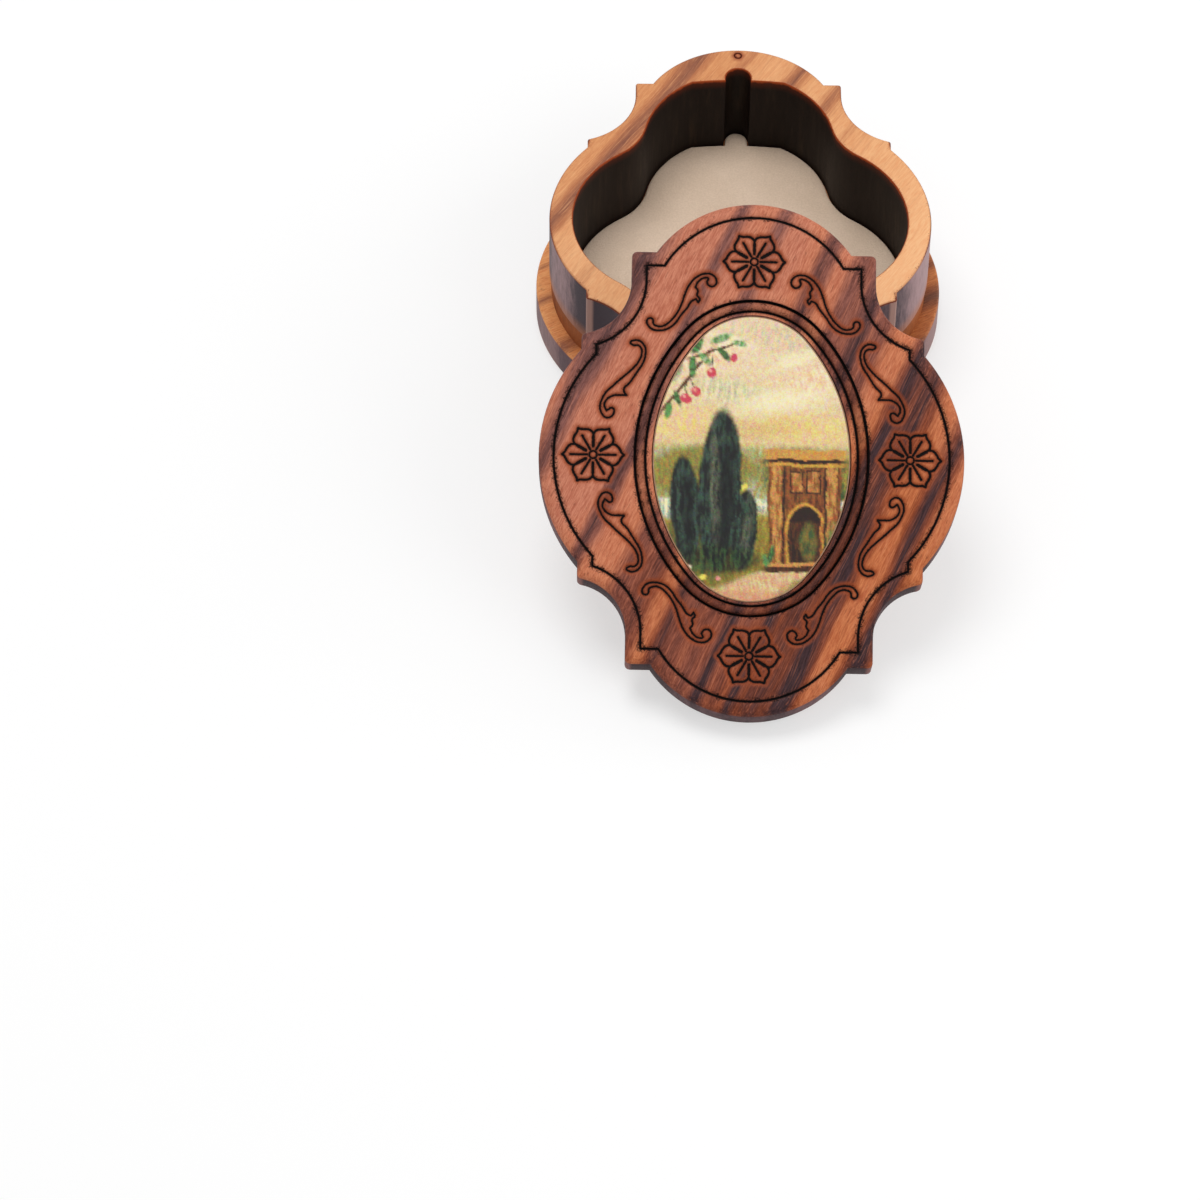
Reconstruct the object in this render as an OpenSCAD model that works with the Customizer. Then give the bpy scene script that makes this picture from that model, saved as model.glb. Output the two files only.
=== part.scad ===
/* [Outline of the lid and the foot] */
// Width of the lid across its side lobes
lid_w = 68; // [66:0.5:74]
// Length of the lid across its end lobes
lid_len = 84; // [82:0.5:90]
// Radius of the round end lobes
end_r = 19.1; // [18:0.1:20]
// Radius of the round side lobes
side_r = 26.7; // [25:0.1:28]
// Distance between the flat faces of the side barbs
barb_w = 55; // [53:0.1:56.5]
// Distance between the flat faces of the end barbs
barb_len = 67.6; // [66:0.1:69]
// Width of the outline at the throats beside the end lobes
throat_w = 39.3; // [37:0.1:40]
// Distance between the centres of the hollow corners, along the length
throat_len = 57.8; // [56:0.1:59]
// Radius of the hollow corners
throat_r = 8.9; // [8.4:0.1:9.4]

/* [Boards] */
// Thickness of the foot board
foot_t = 6; // [4:0.1:8]
// Thickness of the low board that the wall stands on
plinth_t = 4.2; // [3:0.1:6]
// Height of the wall above the plinth
wall_h = 12; // [8:0.1:20]
// Thickness of the lid board
lid_t = 6; // [4.5:0.1:8]
// How far the wall stands back from the edge of the foot and the lid
wall_set = 2.2; // [1.6:0.1:2.8]
// How far the plinth stands back from the wall above it
plinth_set = 0.3; // [0.1:0.05:0.6]

/* [Cavity] */
// Thickness of the wall at the middle of each side
side_wall = 3.9; // [3:0.1:5]
// Thickness of the wall at the middle of each end, beside the key slot
end_wall = 7.4; // [6:0.1:9]
// Radius of the cavity's side lobes
cavity_side_r = 17.7; // [17:0.1:19]
// Radius of the cavity's end lobes
cavity_end_r = 16; // [15.4:0.1:16.4]
// How far the circle of an end lobe would pass the flattened end
cavity_end_cut = 1.5; // [1:0.1:2]
// Radius of the flattened end of the cavity
cavity_cap_r = 60; // [45:1:90]
// Radius of the smooth bends between the lobes
cavity_bend_r = 10; // [9:0.1:11]
// Width of the key slot in the back of the wall
key_w = 4.3; // [3.6:0.1:5]
// Depth of the key slot past the end of the cavity
key_depth = 2.9; // [2.4:0.1:3.6]
// Thickness of the felt on the floor
felt_t = 0.8; // [0.5:0.1:1.5]
// Gap between the felt and the wall
felt_gap = 0.25; // [0.1:0.05:0.6]

/* [Locating plate under the lid] */
// Thickness of the plate
plug_t = 3.6; // [2.4:0.1:4]
// Gap between the plate and the wall when the lid is on
plug_gap = 0.3; // [0.2:0.05:0.6]

/* [Picture] */
// Width of the oval picture
picture_w = 31.6; // [29:0.1:32.6]
// Length of the oval picture
picture_len = 46.9; // [45:0.1:48.4]
// Radius of the picture's narrow ends
picture_tip_r = 11.4; // [10.6:0.1:12]
// Thickness of the picture's board
picture_t = 1.2; // [0.8:0.1:1.6]
// Gap round the picture in its pocket
picture_gap = 0.15; // [0.1:0.05:0.3]
// Depth of the picture's face below the ledge round it
picture_drop = 0.25; // [0.1:0.05:0.5]

/* [Moulding round the picture] */
// Width of the ledge round the picture
ledge_w = 0.75; // [0.5:0.05:1]
// Depth of the ledge below the face of the lid
ledge_drop = 0.5; // [0.3:0.05:0.8]
// Width of the round bead between its two grooves
bead_w = 1.35; // [1:0.05:1.6]
// Width of each groove beside the bead
groove_w = 0.4; // [0.3:0.05:0.5]
// Depth of each groove below the face of the lid
groove_depth = 0.75; // [0.6:0.05:1.2]

/* [Burnt lines] */
// Distance of the border line from the edge of the lid
border_inset = 2.4; // [2:0.1:3]
// Width of a burnt line
line_w = 0.32; // [0.2:0.02:0.5]
// Depth of a burnt line
line_depth = 0.35; // [0.2:0.05:0.6]
// Distance of a side flower's centre from the lid's edge
side_flower_inset = 8.7; // [8:0.1:9.4]
// Distance of an end flower's centre from the lid's edge
end_flower_inset = 9.7; // [9:0.1:10.4]
// Length of a petal from the flower's centre to its tip
petal_len = 4.95; // [4.6:0.05:5.1]
// Radius of the two arcs that bound a petal
petal_r = 2.46; // [2.35:0.01:2.6]
// Half the distance between the centres of a petal's two arcs
petal_spread = 0.55; // [0.4:0.01:0.7]
// Where the line between two petals starts, from the flower's centre
seam_start = 1.4; // [1.2:0.05:1.6]
// Where the vein of a petal starts, from the flower's centre
vein_start = 0.95; // [0.85:0.05:1.1]
// Where the vein of a petal ends, from the flower's centre
vein_end = 3.6; // [3.2:0.05:3.9]
// Radius of the ring in the middle of a flower
eye_r = 0.69; // [0.6:0.01:0.8]
// Distance of the ring mark from the back of the rim
mark_inset = 1.45; // [1.2:0.05:1.8]
// Radius of the ring mark on the rim
mark_r = 0.75; // [0.5:0.05:0.9]

/* [How the open lid leans] */
// Slope of the lid
lean = 28; // [25:0.5:31]
// Gap between the locating plate and the edge of the rim that it leans on
lean_gap = 0.15; // [0.05:0.05:0.3]
// How far the lid lies to the right of the base
lid_shift = 1.1; // [0:0.1:2]
// How far the lid is turned in its own plane
lid_turn = -0.6; // [-2:0.1:2]

/* [Hidden] */
$fn = 96;
spill = 1;
petals = 6;
bead_steps = 6;
oval_steps = 72;
// Overlap that joins two arcs where they touch
tuck = 0.005;

plinth_z = foot_t;
wall_z = plinth_z + plinth_t;
rim_z = wall_z + wall_h;

picture_side_r = (pow(picture_w / 2, 2) + pow(picture_len / 2, 2) - picture_len * picture_tip_r)
    / (picture_w - 2 * picture_tip_r);
tip_centre = picture_len / 2 - picture_tip_r;
side_centre = picture_side_r - picture_w / 2;
tip_angle = atan2(tip_centre, side_centre);

ledge_out = picture_gap + ledge_w;
moulding_w = ledge_out + 2 * groove_w + bead_w;
picture_z = lid_t - ledge_drop - picture_drop - picture_t;

cavity_w = lid_w - 2 * (wall_set + side_wall);
cavity_len = lid_len - 2 * (wall_set + end_wall);
key_end = cavity_len / 2 + key_depth;
cavity_end_y = cavity_len / 2 + cavity_end_cut - cavity_end_r;
cavity_side_x = cavity_w / 2 - cavity_side_r;

flower_x = lid_w / 2 - side_flower_inset;
flower_y = lid_len / 2 - end_flower_inset;

lean_y = -(lid_len / 2 - wall_set);
lid_z = lid_len / 2 * sin(lean);
lid_y = lean_y - (cos(lean) * (rim_z - lid_z) + plug_t + lean_gap) / sin(lean);

// Centre of the circle of radius r that touches two circles from outside
function touching(c1, r1, c2, r2, r) =
    let (
        span = norm(c2 - c1),
        d1 = r1 + r,
        d2 = r2 + r,
        along = (d1 * d1 - d2 * d2 + span * span) / (2 * span),
        across = sqrt(d1 * d1 - along * along),
        ahead = (c2 - c1) / span
    )
    c1 + along * ahead + across * [-ahead[1], ahead[0]];

module corners() {
    for (sx = [-1, 1])
        for (sy = [-1, 1])
            scale([sx, sy])
                children();
}

module both_ends(y) {
    for (s = [-1, 1])
        translate([0, s * y])
            children();
}

module both_sides(x) {
    for (s = [-1, 1])
        translate([s * x, 0])
            children();
}

// The barbed outline of the lid, drawn in by a margin
module barbed_outline(margin = 0) {
    throat_x = throat_w / 2;
    throat_y = throat_len / 2;
    difference() {
        square([barb_w - 2 * margin, barb_len - 2 * margin], center = true);
        corners() {
            translate([throat_x + throat_r, throat_y])
                circle(r = throat_r + margin);
            translate([throat_x - margin, throat_y])
                square([throat_r + 2 * margin, barb_len / 2]);
        }
    }
    both_ends(lid_len / 2 - end_r)
        circle(r = end_r - margin);
    both_sides(lid_w / 2 - side_r)
        circle(r = side_r - margin);
}

// The smooth outline of the cavity, drawn in by a margin
module cavity_outline(margin = 0) {
    side = [cavity_side_x, 0];
    end = [0, cavity_end_y];
    bend = touching(end, cavity_end_r, side, cavity_side_r, cavity_bend_r);
    difference() {
        polygon([
            [-bend[0], bend[1]], end, bend, side, [bend[0], -bend[1]],
            -end, [-bend[0], -bend[1]], -side
        ]);
        corners()
            translate(bend)
                circle(r = cavity_bend_r + margin + tuck);
    }
    both_sides(cavity_side_x)
        circle(r = cavity_side_r - margin);
    intersection() {
        both_ends(cavity_end_y)
            circle(r = cavity_end_r - margin);
        intersection_for(s = [-1, 1])
            translate([0, s * (cavity_len / 2 - cavity_cap_r)])
                circle(r = cavity_cap_r - margin);
    }
}

// The round-ended slot at the back of the cavity, or the ear that fits it
module key_outline(margin = 0) {
    translate([0, key_end - key_w / 2])
        circle(r = key_w / 2 - margin);
    translate([-key_w / 2 + margin, cavity_end_y])
        square([key_w - 2 * margin, key_end - key_w / 2 - cavity_end_y]);
}

// A board sawn to the outline of the cavity and its slot, a margin inside it
module cavity_board(thick, margin) {
    difference() {
        translate([-lid_w / 2, -lid_len / 2, 0])
            cube([lid_w, lid_len, thick]);
        difference() {
            translate([-lid_w, -lid_len, -spill])
                cube([2 * lid_w, 2 * lid_len, thick + 2 * spill]);
            translate([0, 0, -2 * spill])
                linear_extrude(thick + 4 * spill) {
                    cavity_outline(margin);
                    key_outline(margin);
                }
        }
    }
}

// The picture's oval of four arcs, let out by a margin
module oval_outline(margin = 0) {
    both_ends(tip_centre)
        circle(r = picture_tip_r + margin);
    intersection() {
        intersection_for(s = [-1, 1])
            translate([s * side_centre, 0])
                circle(r = picture_side_r + margin);
        square([lid_w, 2 * (tip_centre + (picture_tip_r + margin) * sin(tip_angle))], center = true);
    }
}

// A point at a distance outside the picture's edge, where the edge faces the given angle
function oval_point(angle, out) =
    let (
        facing = [cos(angle), sin(angle)],
        on_side = abs(sin(angle)) < sin(tip_angle),
        middle = on_side ? [-sign(facing[0]) * side_centre, 0] : [0, sign(facing[1]) * tip_centre],
        radius = on_side ? picture_side_r : picture_tip_r
    )
    middle + (radius + out) * facing;

// Cut section of the moulding, as [distance outside the picture's edge, height]: ledge, groove, bead, groove
moulding_section = let (
        bead_x = ledge_out + groove_w + bead_w / 2,
        bead_r = bead_w / 2
    )
    concat(
        [[-spill, spill], [-spill, -ledge_drop], [ledge_out, -ledge_drop], [ledge_out, -groove_depth]],
        [for (a = [180:-180 / bead_steps:0])
            [bead_x + bead_r * cos(a), bead_r * sin(a) - max(bead_r, groove_depth)]],
        [[moulding_w, -groove_depth], [moulding_w, spill]]
    );

// A section swept once round the oval
module oval_sweep(section) {
    size = len(section);
    polyhedron(
        points = [for (i = [0:oval_steps - 1]) for (p = section)
            let (q = oval_point(360 * i / oval_steps, p[0])) [q[0], q[1], p[1]]],
        faces = [for (i = [0:oval_steps - 1]) for (j = [0:size - 1])
            let (ahead = (i + 1) % oval_steps, above = (j + 1) % size)
            [i * size + j, i * size + above, ahead * size + above, ahead * size + j]]
    );
}

module petal(margin = 0) {
    lens_x = petal_len - sqrt(petal_r * petal_r - petal_spread * petal_spread);
    intersection_for(s = [-1, 1])
        translate([lens_x, s * petal_spread])
            circle(r = petal_r - margin);
}

module round_flower() {
    for (k = [0:petals - 1])
        rotate(k * 360 / petals)
            children();
}

// The burnt lines of one flower
module flower_lines() {
    seam_end = petal_len * 0.66;
    difference() {
        round_flower()
            petal();
        round_flower()
            petal(line_w);
    }
    round_flower() {
        rotate(180 / petals)
            translate([seam_start, -line_w * 0.6])
                square([seam_end - seam_start, line_w * 1.2]);
        translate([vein_start, -line_w / 2])
            square([vein_end - vein_start, line_w]);
    }
    difference() {
        circle(r = eye_r);
        circle(r = eye_r - line_w);
    }
}

module lid_lines() {
    difference() {
        barbed_outline(border_inset - line_w / 2);
        barbed_outline(border_inset + line_w / 2);
    }
    both_ends(flower_y)
        flower_lines();
    both_sides(flower_x)
        flower_lines();
}

// Places the lid as the photograph shows it, leaning on the front of the rim
module leaning() {
    translate([lid_shift, lid_y, lid_z])
        rotate([lean, 0, 0])
            rotate([0, 0, lid_turn])
                children();
}

module foot_board() {
    color("sienna")
        linear_extrude(foot_t)
            barbed_outline();
}

module plinth_ring() {
    color("peru")
        translate([0, 0, plinth_z])
            linear_extrude(plinth_t)
                difference() {
                    barbed_outline(wall_set + plinth_set);
                    cavity_outline();
                    key_outline();
                }
}

module wall_ring() {
    color("burlywood")
        difference() {
            translate([0, 0, wall_z])
                linear_extrude(wall_h)
                    difference() {
                        barbed_outline(wall_set);
                        cavity_outline();
                        key_outline();
                    }
            translate([0, lid_len / 2 - wall_set - mark_inset, rim_z - line_depth])
                linear_extrude(line_depth + spill)
                    difference() {
                        circle(r = mark_r);
                        circle(r = mark_r - line_w);
                    }
        }
}

module floor_felt() {
    color("tan")
        translate([0, 0, foot_t])
            cavity_board(felt_t, felt_gap);
}

module lid_board() {
    color("brown")
        leaning()
            difference() {
                linear_extrude(lid_t)
                    barbed_outline();
                translate([0, 0, lid_t - line_depth])
                    linear_extrude(line_depth + spill)
                        lid_lines();
                translate([0, 0, lid_t])
                    oval_sweep(moulding_section);
                translate([0, 0, picture_z])
                    linear_extrude(lid_t)
                        oval_outline(picture_gap);
            }
}

module locating_plate() {
    color("saddlebrown")
        leaning()
            translate([0, 0, -plug_t])
                cavity_board(plug_t, plug_gap);
}

module picture_oval() {
    color("khaki")
        leaning()
            translate([0, 0, picture_z])
                linear_extrude(picture_t)
                    oval_outline();
}

foot_board();
plinth_ring();
wall_ring();
floor_felt();
lid_board();
locating_plate();
picture_oval();
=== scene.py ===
"""A small keepsake box of olive-type wood, open, with its lid leaning on the front of the rim."""

import logging
import math
from dataclasses import dataclass, field, replace
from enum import Enum
from functools import cached_property
from typing import Any, Iterable, Mapping, Sequence, Union

import bmesh
import bpy
from bmesh.types import BMEdge, BMesh, BMFace, BMVert
from mathutils import Euler, Matrix, Vector, kdtree, noise

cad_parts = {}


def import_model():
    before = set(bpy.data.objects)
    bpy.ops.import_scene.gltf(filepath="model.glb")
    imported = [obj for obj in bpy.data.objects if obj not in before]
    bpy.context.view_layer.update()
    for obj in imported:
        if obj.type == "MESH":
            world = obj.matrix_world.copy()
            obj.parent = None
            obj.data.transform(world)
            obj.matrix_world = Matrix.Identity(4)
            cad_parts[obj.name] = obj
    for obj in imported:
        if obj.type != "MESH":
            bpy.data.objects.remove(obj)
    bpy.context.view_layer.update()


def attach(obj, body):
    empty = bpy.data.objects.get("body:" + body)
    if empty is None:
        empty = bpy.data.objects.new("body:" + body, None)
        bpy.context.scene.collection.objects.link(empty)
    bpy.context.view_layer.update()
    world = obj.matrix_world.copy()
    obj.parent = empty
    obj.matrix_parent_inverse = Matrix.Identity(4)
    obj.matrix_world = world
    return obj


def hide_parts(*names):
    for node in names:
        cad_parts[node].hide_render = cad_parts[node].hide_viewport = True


log = logging.getLogger("keepsake_box")

# A millimetre in metres, the unit of the scene. The pieces are drawn in millimetres.
MM = 0.001
# How near points are merged, how even a flat face is, and how near to a face a point counts as on it.
MERGE = 0.002
FLAT = 0.003
ON_FACE = 0.01
# Where the cuts of a lattice start, as a share of its pitch, so that none runs down the middle.
LATTICE_START = 0.37
# Edges up to this length aren't divided, and points along a burnt line lie this far apart.
SHORT_EDGE = 0.15
SAMPLE_PITCH = 0.08
# How far a daub can reach, as a share of its half diagonal.
DAUB_REACH = 1.5

Colour = tuple[float, float, float]
Point = tuple[float, float]
Profile = Sequence[Point]


class Body(Enum):
    """The two rigid bodies of the box."""

    BASE = "base"
    LID = "lid"


class Face(Enum):
    """Which of a piece's two materials a face takes: that of its face, or that of its cavity or cut edge."""

    MAIN = 0
    OTHER = 1


class Mark(Enum):
    """A board's attributes: how near a point is to burnt lines and edges, ornament, the bead and barbs."""

    BURN = "burn"
    SCORCH = "scorch"
    BEAD = "bead"
    # This attribute marks how near a point is to a barb tip. It carries real soot specks beside the burnt lines
    # near the barbs, and painted light on the sawn sides: a painted highlight on each barb corner and painted
    # shade beside it.
    BARB_SOOT_AND_PAINTED_LIGHT = "worn"


def srgb(red: float, green: float, blue: float) -> Colour:
    """Turns a colour as a screen shows it into the linear colour that a shader takes.

    Args:
        red: red from 0 to 255.
        green: green from 0 to 255.
        blue: blue from 0 to 255.

    Returns:
        The linear red, green and blue from 0 to 1.
    """

    def linear(value: float) -> float:
        """Returns one channel in linear light."""
        share = value / 255
        return share / 12.92 if share <= 0.04045 else ((share + 0.055) / 1.055) ** 2.4

    return (linear(red), linear(green), linear(blue))


def polar(radius: float, degrees: float) -> Vector:
    """Returns the flat point at a radius and an angle."""
    return Vector((radius * math.cos(math.radians(degrees)), radius * math.sin(math.radians(degrees))))


def six_points(radius: float) -> tuple[Point, ...]:
    """Returns six points of a circle, for a small round line."""
    return tuple(tuple(polar(radius, 60 * k)) for k in range(6))


def put(made: bpy.types.Object) -> bpy.types.Object:
    """Puts an object in the scene and returns it."""
    bpy.context.scene.collection.objects.link(made)
    return made


def touching(first: Vector, first_r: float, second: Vector, second_r: float, radius: float) -> Vector:
    """Finds the circle that touches two circles from outside.

    Args:
        first: centre of the first circle.
        first_r: its radius.
        second: centre of the second circle.
        second_r: its radius.
        radius: radius of the circle that is looked for.

    Returns:
        Its centre, on the left of the way from the first circle to the second.
    """
    span = (second - first).length
    ahead = (second - first) / span
    to_first = first_r + radius
    to_second = second_r + radius
    along = (to_first**2 - to_second**2 + span**2) / (2 * span)
    across = math.sqrt(to_first**2 - along**2)
    return first + along * ahead + across * Vector((-ahead.y, ahead.x))


class Pen:
    """Draws a chain of edges by extruding and spinning the vertex at its tip."""

    def __init__(self, bm: BMesh, start: Sequence[float], height: float) -> None:
        """Sets the pen down.

        Args:
            bm: the mesh that is drawn in.
            start: x and y of the first point.
            height: z of the whole chain.
        """
        self.bm = bm
        self.height = height
        self.tip = bmesh.ops.create_vert(bm, co=(start[0], start[1], height))["vert"][0]

    def line(self, x: float, y: float) -> None:
        """Draws a straight edge to x, y."""
        self.tip = bmesh.ops.extrude_vert_indiv(self.bm, verts=[self.tip])["verts"][0]
        self.tip.co = (x, y, self.height)

    def arc(self, centre: Sequence[float], turn: float, steps: int) -> None:
        """Draws an arc.

        Args:
            centre: x and y of its centre.
            turn: how far it turns, in degrees, anticlockwise if positive.
            steps: number of edges.
        """
        made = bmesh.ops.spin(
            self.bm,
            geom=[self.tip],
            cent=(centre[0], centre[1], self.height),
            axis=(0, 0, 1),
            angle=math.radians(turn),
            steps=steps,
        )
        self.tip = next(item for item in made["geom_last"] if isinstance(item, BMVert))

    def arc_to(
        self, centre: Sequence[float], end: Sequence[float], steps: int, clockwise: bool = False
    ) -> None:
        """Draws an arc that ends at the angle of a point.

        Args:
            centre: x and y of its centre.
            end: a point that the arc ends at.
            steps: number of edges.
            clockwise: which way it turns.
        """
        here = math.atan2(self.tip.co.y - centre[1], self.tip.co.x - centre[0])
        there = math.atan2(end[1] - centre[1], end[0] - centre[0])
        turn = (there - here) % (2 * math.pi)
        if clockwise:
            turn -= 2 * math.pi
        self.arc(centre, math.degrees(turn), steps)


class Outline:
    """A closed outline that can be drawn with a margin inside it."""

    def chain(self, bm: BMesh, margin: float, height: float) -> None:
        """Draws the part of the outline that its mirror images complete."""
        raise NotImplementedError

    def mirrors(self) -> Sequence[str]:
        """Returns the axes whose mirror images complete the outline."""
        return ("X", "Y")

    def draw(self, bm: BMesh, margin: float, height: float) -> list[BMEdge]:
        """Draws the closed outline.

        Args:
            bm: the mesh that is drawn in.
            margin: how far inside the outline the loop lies.
            height: z of the loop.

        Returns:
            The edges of the loop.
        """
        before = set(bm.edges)
        old = set(bm.verts)
        self.chain(bm, margin, height)
        for axis in self.mirrors():
            fresh = [v for v in bm.verts if v not in old] + [e for e in bm.edges if e not in before]
            bmesh.ops.mirror(bm, geom=fresh, matrix=Matrix(), merge_dist=MERGE, axis=axis)
        bmesh.ops.remove_doubles(bm, verts=[v for v in bm.verts if v not in old], dist=MERGE)
        return [e for e in bm.edges if e not in before]


@dataclass(frozen=True)
class BarbedOutline(Outline):
    """The outline of the lid and the foot: four round lobes with barbs between them, in millimetres."""

    width: float = 68.0
    length: float = 84.0
    end_r: float = 19.1
    side_r: float = 26.7
    barb_w: float = 55.0
    barb_len: float = 67.6
    throat_w: float = 39.3
    throat_len: float = 57.8
    throat_r: float = 8.9
    tip_r: float = 0.8
    least_r: float = 0.02

    def chain(self, bm: BMesh, margin: float, height: float) -> None:
        """Draws the quarter from the middle of the right side to the middle of the back end."""
        side_r = self.side_r - margin
        end_r = self.end_r - margin
        hollow_r = self.throat_r + margin
        side = Vector((self.width / 2 - self.side_r, 0))
        end = Vector((0, self.length / 2 - self.end_r))
        hollow = Vector((self.throat_w / 2 + self.throat_r, self.throat_len / 2))
        flat_x = self.barb_w / 2 - margin
        flat_y = self.barb_len / 2 - margin
        throat_x = self.throat_w / 2 - margin
        lobe_y = math.sqrt(side_r**2 - (flat_x - side.x) ** 2)
        lobe_x = math.sqrt(end_r**2 - (flat_y - end.y) ** 2)
        tip_r = max(self.tip_r - margin, self.least_r)
        hook_x = flat_x - tip_r
        hook = Vector((hook_x, hollow.y - math.sqrt((hollow_r + tip_r) ** 2 - (hollow.x - hook_x) ** 2)))
        corner = Vector((throat_x - tip_r, flat_y - tip_r))
        pen = Pen(bm, (side.x + side_r, 0), height)
        pen.arc_to(side, (flat_x, lobe_y), 18)
        pen.line(flat_x, hook.y)
        pen.arc_to(hook, hollow, 3)
        pen.arc_to(hollow, (throat_x, hollow.y), 16, clockwise=True)
        pen.line(throat_x, corner.y)
        pen.arc_to(corner, (corner.x, flat_y), 3)
        pen.line(lobe_x, flat_y)
        pen.arc_to(end, (0, end.y + end_r), 20)

    def tips(self, margin: float) -> list[Vector]:
        """Returns the points of the barbs, all round, at a margin."""
        hollow_r = self.throat_r + margin
        flat_x = self.barb_w / 2 - margin
        across = self.throat_w / 2 + self.throat_r - flat_x
        hook_y = self.throat_len / 2 - math.sqrt(hollow_r**2 - across**2)
        pair = ((flat_x, hook_y), (self.throat_w / 2 - margin, self.barb_len / 2 - margin))
        return [Vector((sx * px, sy * py, 0)) for sx in (1, -1) for sy in (1, -1) for px, py in pair]


@dataclass(frozen=True)
class CavityOutline(Outline):
    """The smooth outline of the cavity with its key slot at the back, in millimetres."""

    width: float = 55.8
    length: float = 64.8
    side_r: float = 17.7
    end_r: float = 16.0
    end_cut: float = 1.5
    cap_r: float = 60.0
    bend_r: float = 10.0
    key_w: float = 4.3
    key_depth: float = 2.9

    def mirrors(self) -> Sequence[str]:
        """Returns the one axis that the slot leaves."""
        return ("X",)

    def chain(self, bm: BMesh, margin: float, height: float) -> None:
        """Draws the right half, from the middle of the front to the middle of the slot."""
        side_r = self.side_r - margin
        end_r = self.end_r - margin
        cap_r = self.cap_r - margin
        key_r = self.key_w / 2 - margin
        side = Vector((self.width / 2 - self.side_r, 0))
        end = Vector((0, self.length / 2 + self.end_cut - self.end_r))
        cap = Vector((0, self.length / 2 - self.cap_r))
        bend = touching(end, self.end_r, side, self.side_r, self.bend_r)
        corner_y = cap.y + (cap_r**2 - end_r**2 + (end.y - cap.y) ** 2) / (2 * (end.y - cap.y))
        corner = Vector((math.sqrt(cap_r**2 - (corner_y - cap.y) ** 2), corner_y))
        from_end = end + end_r * (bend - end).normalized()
        from_side = side + side_r * (bend - side).normalized()
        slot_y = cap.y + math.sqrt(cap_r**2 - key_r**2)
        slot_end = self.length / 2 + self.key_depth - self.key_w / 2

        def front(point: Vector) -> Vector:
            """Returns the same point at the front."""
            return Vector((point.x, -point.y))

        pen = Pen(bm, (0, -(cap.y + cap_r)), height)
        pen.arc_to(front(cap), front(corner), 6)
        pen.arc_to(front(end), front(from_end), 12)
        pen.arc_to(front(bend), front(from_side), 8, clockwise=True)
        pen.arc_to(side, from_side, 24)
        pen.arc_to(bend, from_end, 8, clockwise=True)
        pen.arc_to(end, corner, 12)
        pen.arc_to(cap, (key_r, slot_y), 4)
        pen.line(key_r, slot_end)
        pen.arc_to((0, slot_end), (0, slot_end + key_r), 8)


@dataclass(frozen=True)
class OvalOutline(Outline):
    """The oval of the picture, of four arcs, in millimetres.

    A margin below nought lies outside it, where the moulding's ovals are shorter by the ease at each end.
    """

    width: float = 31.6
    length: float = 46.9
    tip_r: float = 11.4
    ease: float = 0.48
    ease_over: float = 1.1

    def chain(self, bm: BMesh, margin: float, height: float) -> None:
        """Draws the quarter from the middle of the right side to the tip at the back."""
        half = self.length / 2 - self.ease * min(1.0, max(0.0, -margin / self.ease_over))
        side_r = ((self.width / 2) ** 2 + half**2 - 2 * half * self.tip_r) / (self.width - 2 * self.tip_r)
        side = Vector((self.width / 2 - side_r, 0))
        tip = Vector((0, half - self.tip_r))
        joint = tip + (tip - side).normalized() * (self.tip_r - margin)
        pen = Pen(bm, (side.x + side_r - margin, 0), height)
        pen.arc_to(side, joint, 22)
        pen.arc_to(tip, (0, tip.y + self.tip_r - margin), 16)


def loft(bm: BMesh, outline: Outline, profile: Profile) -> tuple[list[BMEdge], list[BMEdge]]:
    """Joins a stack of outlines into a wall.

    Args:
        bm: the mesh that it is made in.
        outline: the outline.
        profile: margin and height of each loop in turn.

    Returns:
        The edges of the first loop and those of the last.
    """
    loops = [outline.draw(bm, margin, 10.0 * index) for index, (margin, _) in enumerate(profile)]
    rings = [{v for e in loop for v in e.verts} for loop in loops]
    for lower, upper in zip(loops, loops[1:]):
        bmesh.ops.bridge_loops(bm, edges=lower + upper)
    for ring, (_, height) in zip(rings, profile):
        for vert in ring:
            vert.co.z = height
    return loops[0], loops[-1]


def close(bm: BMesh, edges: list[BMEdge]) -> BMFace:
    """Closes a loop with one flat face, which it returns."""
    return bmesh.ops.contextual_create(bm, geom=edges)["faces"][0]


def fill_between(bm: BMesh, outer: list[BMEdge], inner: list[BMEdge]) -> list[BMFace]:
    """Fills the flat land between an outer loop and the loop of a hole, and returns the new faces."""
    made = bmesh.ops.triangle_fill(bm, use_beauty=True, edges=outer + inner, normal=(0, 0, 1))
    return [item for item in made["geom"] if isinstance(item, BMFace)]


def slab(bm: BMesh, outline: Outline, profile: Profile) -> tuple[BMFace, BMFace]:
    """Makes a closed board from a stack of outlines and returns its lowest and its highest face."""
    lower, upper = loft(bm, outline, profile)
    return (close(bm, lower), close(bm, upper))


def frame(bm: BMesh, outer: Outline, outside: Profile, inner: Outline, inside: Profile, below: float) -> None:
    """Makes a closed board with a hole, whose walls take the other material.

    Args:
        bm: the mesh that it is made in.
        outer: the outline of the board.
        outside: margin and height of each loop of the board's side.
        inner: the outline of the hole.
        inside: margin and height of each loop of the hole's wall.
        below: height that the faces of the other material stay below.
    """
    lower, upper = loft(bm, outer, outside)
    before = set(bm.faces)
    inner_low, inner_high = loft(bm, inner, inside)
    for wall_face in set(bm.faces) - before:
        if wall_face.calc_center_median().z < below:
            wall_face.material_index = Face.OTHER.value
    fill_between(bm, lower, inner_low)
    fill_between(bm, upper, inner_high)


def rounding(
    radius: float, top: float, steps: int = 4, margin: float = 0.0, width: float = 0.0
) -> list[Point]:
    """Returns the profile of a rounded upper edge, from the side to the top.

    Args:
        radius: height of the rounding.
        top: height of the top face.
        steps: number of facets.
        margin: margin of the side face.
        width: width of the rounding, where it isn't the radius.

    Returns:
        Margin and height of each loop.
    """
    turns = [math.pi / 2 * k / steps for k in range(steps + 1)]
    reach = width or radius
    return [(margin + reach * (1 - math.cos(a)), top - radius * (1 - math.sin(a))) for a in turns]


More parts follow.
